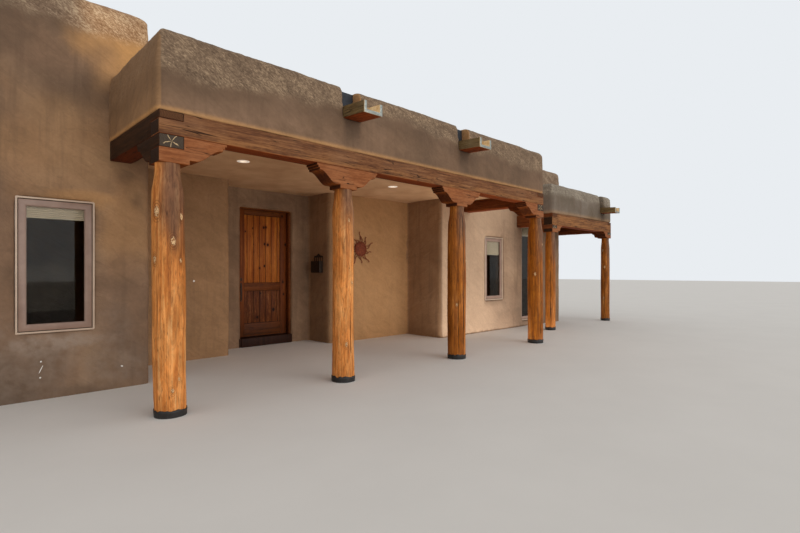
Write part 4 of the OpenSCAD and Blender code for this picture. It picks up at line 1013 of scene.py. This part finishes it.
def makeLog(index, low, high):
    # one column with its knots and checks; hands back its tar band
    v = logValues
    x, y, height = (low.x + high.x) / 2, (low.y + high.y) / 2, high.z
    foot = (high.x - low.x) / 2 - v["trim"]
    neck = foot - (v["neckIn"] if height > 2.48 else v["thinNeckIn"])
    knots = knotLists.get(index) or [
        (random.uniform(0.4, 2.1), random.uniform(-180, 180), 0.02) for k in range(4)]
    checks = checkLists.get(index) or [
        (random.uniform(-180, 180), 0.1, random.uniform(1.0, 2.2), 0.006) for k in range(3)]
    sides, rings = (96, 150) if index < 5 else (72, 90)
    swell, ruddy, golden = logLooks.get(index, (0.004, 0.8, 1.2))
    seed = 17.3 * index
    bpy.ops.mesh.primitive_cylinder_add(vertices=sides, radius=foot, depth=height, end_fill_type="NGON",
                                        location=(x, y, height / 2))
    log = settle(bpy.context.object)
    log.name = "logColumn%d" % index
    levels = [vertex.co.z for vertex in log.data.vertices]
    with editing(log, edges=lambda edge: abs(levels[edge.vertices[0]] - levels[edge.vertices[1]]) > 1):
        bpy.ops.mesh.subdivide(number_cuts=rings)
    shares = {kind: [] for kind in ("knot", "check", "bleach", "ruddy", "golden")}
    for vertex in log.data.vertices:
        z = vertex.co.z
        angle = math.atan2(vertex.co.y - y, vertex.co.x - x)
        around = Vector((math.cos(angle), math.sin(angle), 0))
        radius = logRadius(z, height, foot, neck, swell)
        radius += v["stroke"] * noise.noise(around * 1.6 + Vector((0, 0, z * 0.9 + seed)))
        radius += v["facet"] * (0.5 - 2 * abs(noise.noise(around * 4.5 + Vector((seed, 0, z * 1.4)))))
        radius += v["fibre"] * noise.noise(around * 11 + Vector((0, seed, z * 5)))
        nearest = 0
        for knotZ, bearing, size in knots:
            turn = turnTo(angle, math.radians(bearing))
            distance = math.hypot(turn * radius, (z - knotZ) * (0.8 if abs(z - knotZ) < size else 0.6)) / size
            if distance < 3.2:
                radius += 0.35 * size * math.exp(-distance * distance * 0.8)
                radius -= 0.12 * size * math.exp(-distance * distance * 6)
                # 0.64 at the knot's own edge, fading out over the swirl round it
                nearest = max(nearest, 1 - 0.36 * distance if distance < 1 else 0.64 * (3.2 - distance) / 2.2)
        gap = 0
        for bearing, start, end, width in checks:
            if start < z < end:
                path = math.radians(bearing) + 0.12 * noise.noise(Vector((seed, bearing, z * 1.7)))
                fade = smoothStep(start, start + 0.15, z) * smoothStep(end, end - 0.25, z)
                share = fade * math.exp(-(turnTo(angle, path) * radius / width) ** 2)
                radius -= v["checkDepth"] * share
                gap = max(gap, share)
        sway = v["wander"] * math.sin(math.pi * z / height)
        shift = sway * Vector([noise.noise(Vector((seed, way, z * 0.9))) for way in (1, 9)]).to_3d()
        shift.x += v["lean"] * (1 - z / height) * (index == 1)
        vertex.co = Vector((x, y, z)) + around * radius + shift
        cloud = noise.noise(around * 1.4 + Vector((0, 0, z * 2 + seed)))
        weather = smoothStep(height - 1.1, height - 0.3, z + 0.35 * cloud)
        # painted light: the first log's left side is golden up its whole height
        side = 0.6 * smoothStep(0.3, 0.95, math.cos(angle - v["paintedLitSide"])) * (index == 1)
        shares["knot"].append(nearest)
        shares["check"].append(smoothStep(0.35, 0.9, gap))
        # rain grey on the weather side of the head, its tones darkened as painted shade
        shares["bleach"].append(0.75 * weather * smoothStep(0.0, 0.8, math.cos(angle - v["weatherSide"])))
        shares["ruddy"].append(min(max(ruddy + 0.5 * cloud, 0), 1))
        shares["golden"].append(max(smoothStep(golden + 0.4, golden - 0.5, z + 0.5 * cloud), side))
    setAttributes(log, shares)
    smoothShade(log, 45)
    band = tarBand(log, x, y, seed)
    handOver(log, [logWood], ["log_columns"])
    return band


bands = [makeLog(i, *box) for i, box in enumerate(looseBoxes("log_columns"), 1)]
handOver(joinPieces(bands, "tarBands"), [tar], ["column_collars"])
print("logs made")


# Canales: board troughs with a folded metal lining

canales = nodeCopy("canales", "canalBoards")
easeEdges(canales, 0.003)
markEnds(canales, 1)
smoothShade(canales)
handOver(canales, [canalWood, stainedShadedEnd], ["canales"])
liners = nodeCopy("canal_liners")
for face in liners.data.polygons:
    # silt colours the inside of the trough
    face.material_index = int(abs(face.normal.y) < 0.7)
easeEdges(liners, 0.0008)
smoothShade(liners)
handOver(liners, [zinc, stainedZinc], ["canal_liners"])
# a thin blue-black sheet standing across each notch of the portal's front, above the spout
sheets = [makeBoard((low.x - 0.03, portalCorner.y + 0.17, high.z + 0.03),
                    (high.x + 0.03, portalCorner.y + 0.174, portalTop - 0.02), 0.001)
          for low, high in spoutBoxes if low.y < portalCorner.y - 0.1]
handOver(joinPieces(sheets, "notchSheets"), [membrane])
print("canales made")


# Plank door in its lined reveal

doorValues = {
    "stile": 0.14, "topRail": 0.105, "midRail": 0.16, "bottomRail": 0.262, "lowPanel": 0.632, "joints": 6,
    "panelBack": 0.012, "ease": 0.004, "groove": 0.009, "letIn": 0.012,
}


def doorPieces(low, high):
    # stiles, rails, lower boards and upper boards
    v = doorValues
    inner = (low.x + v["stile"], high.x - v["stile"])
    lowPanel = (low.z + v["bottomRail"], low.z + v["bottomRail"] + v["lowPanel"])
    highPanel = (lowPanel[1] + v["midRail"], high.z - v["topRail"])
    stiles = [makeBoard((x0, low.y, low.z), (x1, high.y, high.z), v["ease"], 0)
              for x0, x1 in ((low.x, inner[0]), (inner[1], high.x))]
    rails = [makeBoard((inner[0], low.y, z0), (inner[1], high.y, z1), v["ease"] * 2, 2)
             for z0, z1 in ((low.z, lowPanel[0]), (lowPanel[1], highPanel[0]), (highPanel[1], high.z))]
    # whole boards between two half ones
    pitch = (inner[1] - inner[0]) / v["joints"]
    joints = [inner[0]] + [inner[0] + pitch * (i + 0.5) for i in range(v["joints"])] + [inner[1]]
    front, back = low.y + v["panelBack"], high.y - v["panelBack"]
    boards = [[makeBoard((x0, front, z0), (x1, back, z1), v["groove"], 0)
               for x0, x1 in zip(joints, joints[1:])] for z0, z1 in (lowPanel, highPanel)]
    return stiles, rails, *boards


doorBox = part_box("front_door")
doorLooks = (("doorStiles", stileWood), ("doorRails", railWood), ("doorLowBoards", lowBoardWood),
             ("doorHighBoards", boardWood))
for pieces, (name, wood) in zip(doorPieces(*doorBox), doorLooks):
    joined = joinPieces(pieces, name)
    smoothShade(joined)
    handOver(joined, [wood], ["front_door"], "front_door")

for node, name in (("door_frame", "doorLining"), ("door_sill", "doorSill")):
    lining = nodeCopy(node, name)
    low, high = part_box(node)
    if node == "door_frame":
        # let into the stucco round it
        for vertex in lining.data.vertices:
            side = (vertex.co.x > high.x - 0.001) - (vertex.co.x < low.x + 0.001)
            vertex.co.x += doorValues["letIn"] * side
            vertex.co.z += doorValues["letIn"] * (vertex.co.z > high.z - 0.001)
    easeEdges(lining, 0.003)
    for face in lining.data.polygons:
        # painted shade: the right-hand jamb, deep in the doorway's shade, and the foot keep the darkest
        # board; the other faces get the rail's tone
        face.material_index = int(face.center.x < high.x - 0.04 and face.center.z > doorBox[0].z + 0.1)
    smoothShade(lining)
    handOver(lining, [liningWood, railWood], [node])

for node, body in (("door_hinges", "house"), ("door_hardware", "front_door")):
    metal = nodeCopy(node)
    easeEdges(metal, 0.0015)
    smoothShade(metal)
    handOver(metal, [iron], [node], body)
print("door made")


# Iron sun, basket and ceiling lights

for node, name, slotName, material in (("wall_sun", "wallSun", "rusted_iron", rust),
                                       ("wall_basket", "wallBasket", "dark_iron", iron),
                                       ("portal_lights", "ceilingLights", "white_trim", enamel)):
    piece = nodeCopy(node, name)
    if node == "wall_sun":
        # hammered rays, a little fuller than their flat blanks
        applyModifier(piece, "DISPLACE", strength=0.0025, mid_level=0)
    smoothShade(piece)
    handOver(piece, [material], [node])
print("fittings made")


# Camera, lights and floor

def makeLamp(kind, name, location, target, **settings):
    data = bpy.data.lights.new(name, kind)
    for setting, value in settings.items():
        setattr(data, setting, value)
    lamp = newObject(name, data)
    lamp.location = location
    lamp.rotation_euler = (Vector(target) - Vector(location)).to_track_quat("-Z", "Y").to_euler()
    return lamp


# left of and in front of the portal's corner, eye height, turn to the right, focal length and shift
cameraValues = {
    "left": -1.633, "front": -5.011, "eye": 1.450, "turn": -44.495, "lens": 21.82, "shift": 0.0062,
}
cameraData = bpy.data.cameras.new("camera")
cameraData.lens = cameraValues["lens"]
cameraData.sensor_width = 36
cameraData.shift_y = cameraValues["shift"]
camera = newObject("camera", cameraData)
camera.location = (portalCorner.x + cameraValues["left"], portalCorner.y + cameraValues["front"],
                   cameraValues["eye"])
camera.rotation_euler = (math.radians(90), 0, math.radians(cameraValues["turn"]))
bpy.context.scene.camera = camera

makeLamp("SUN", "key", (3, -14, 2.6), (0, 0, 0), energy=1.2, angle=math.radians(55))
# a wide, low fill, as pale ground gives it
fill = makeLamp("AREA", "fill", (-1, -12, 1.0), (0, -2.5, 2.2), energy=26, shape="RECTANGLE", size=14,
                size_y=1.2, spread=math.radians(60))
# light thrown up by sunlit ground in front of the portal's right half
bounce = makeLamp("AREA", "bounce", (2.9, -3.7, 0.03), (2.9, -3.7, 3), energy=41, shape="RECTANGLE", size=5,
                  size_y=2)
for lamp in (fill, bounce):
    lamp.visible_glossy = False
    lamp.visible_camera = False
bpy.ops.mesh.primitive_plane_add(size=160)
floor = bpy.context.object
floor.name = "floor"
# pale, matt and even
ground = plainMaterial("pale_floor", {"Roughness": 0.9}, 1000, "#d9d5cf", "#dcd8d2", 0.0, 0.001)
floor.data.materials.append(ground)

# white light all round; the camera and the mirrors see a pale grey sky
world = bpy.data.worlds.new("studio")
bpy.context.scene.world = world
world.use_nodes = True
background = world.node_tree.nodes["Background"]
background.inputs["Color"].default_value = toLinear("#ffffff")
background.inputs["Strength"].default_value = 0.68
add = functools.partial(addNode, world.node_tree)
backdrop = add("Background", "#e9edf1", 1.0)
path = add("LightPath").node.outputs
seen = add("Math", path["Is Camera Ray"], path["Is Glossy Ray"], operation="MAXIMUM")
chosen = add("MixShader", seen, background.outputs[0], backdrop)
world.node_tree.links.new(chosen, world.node_tree.nodes["World Output"].inputs["Surface"])
bpy.context.scene.view_settings.view_transform = "Standard"
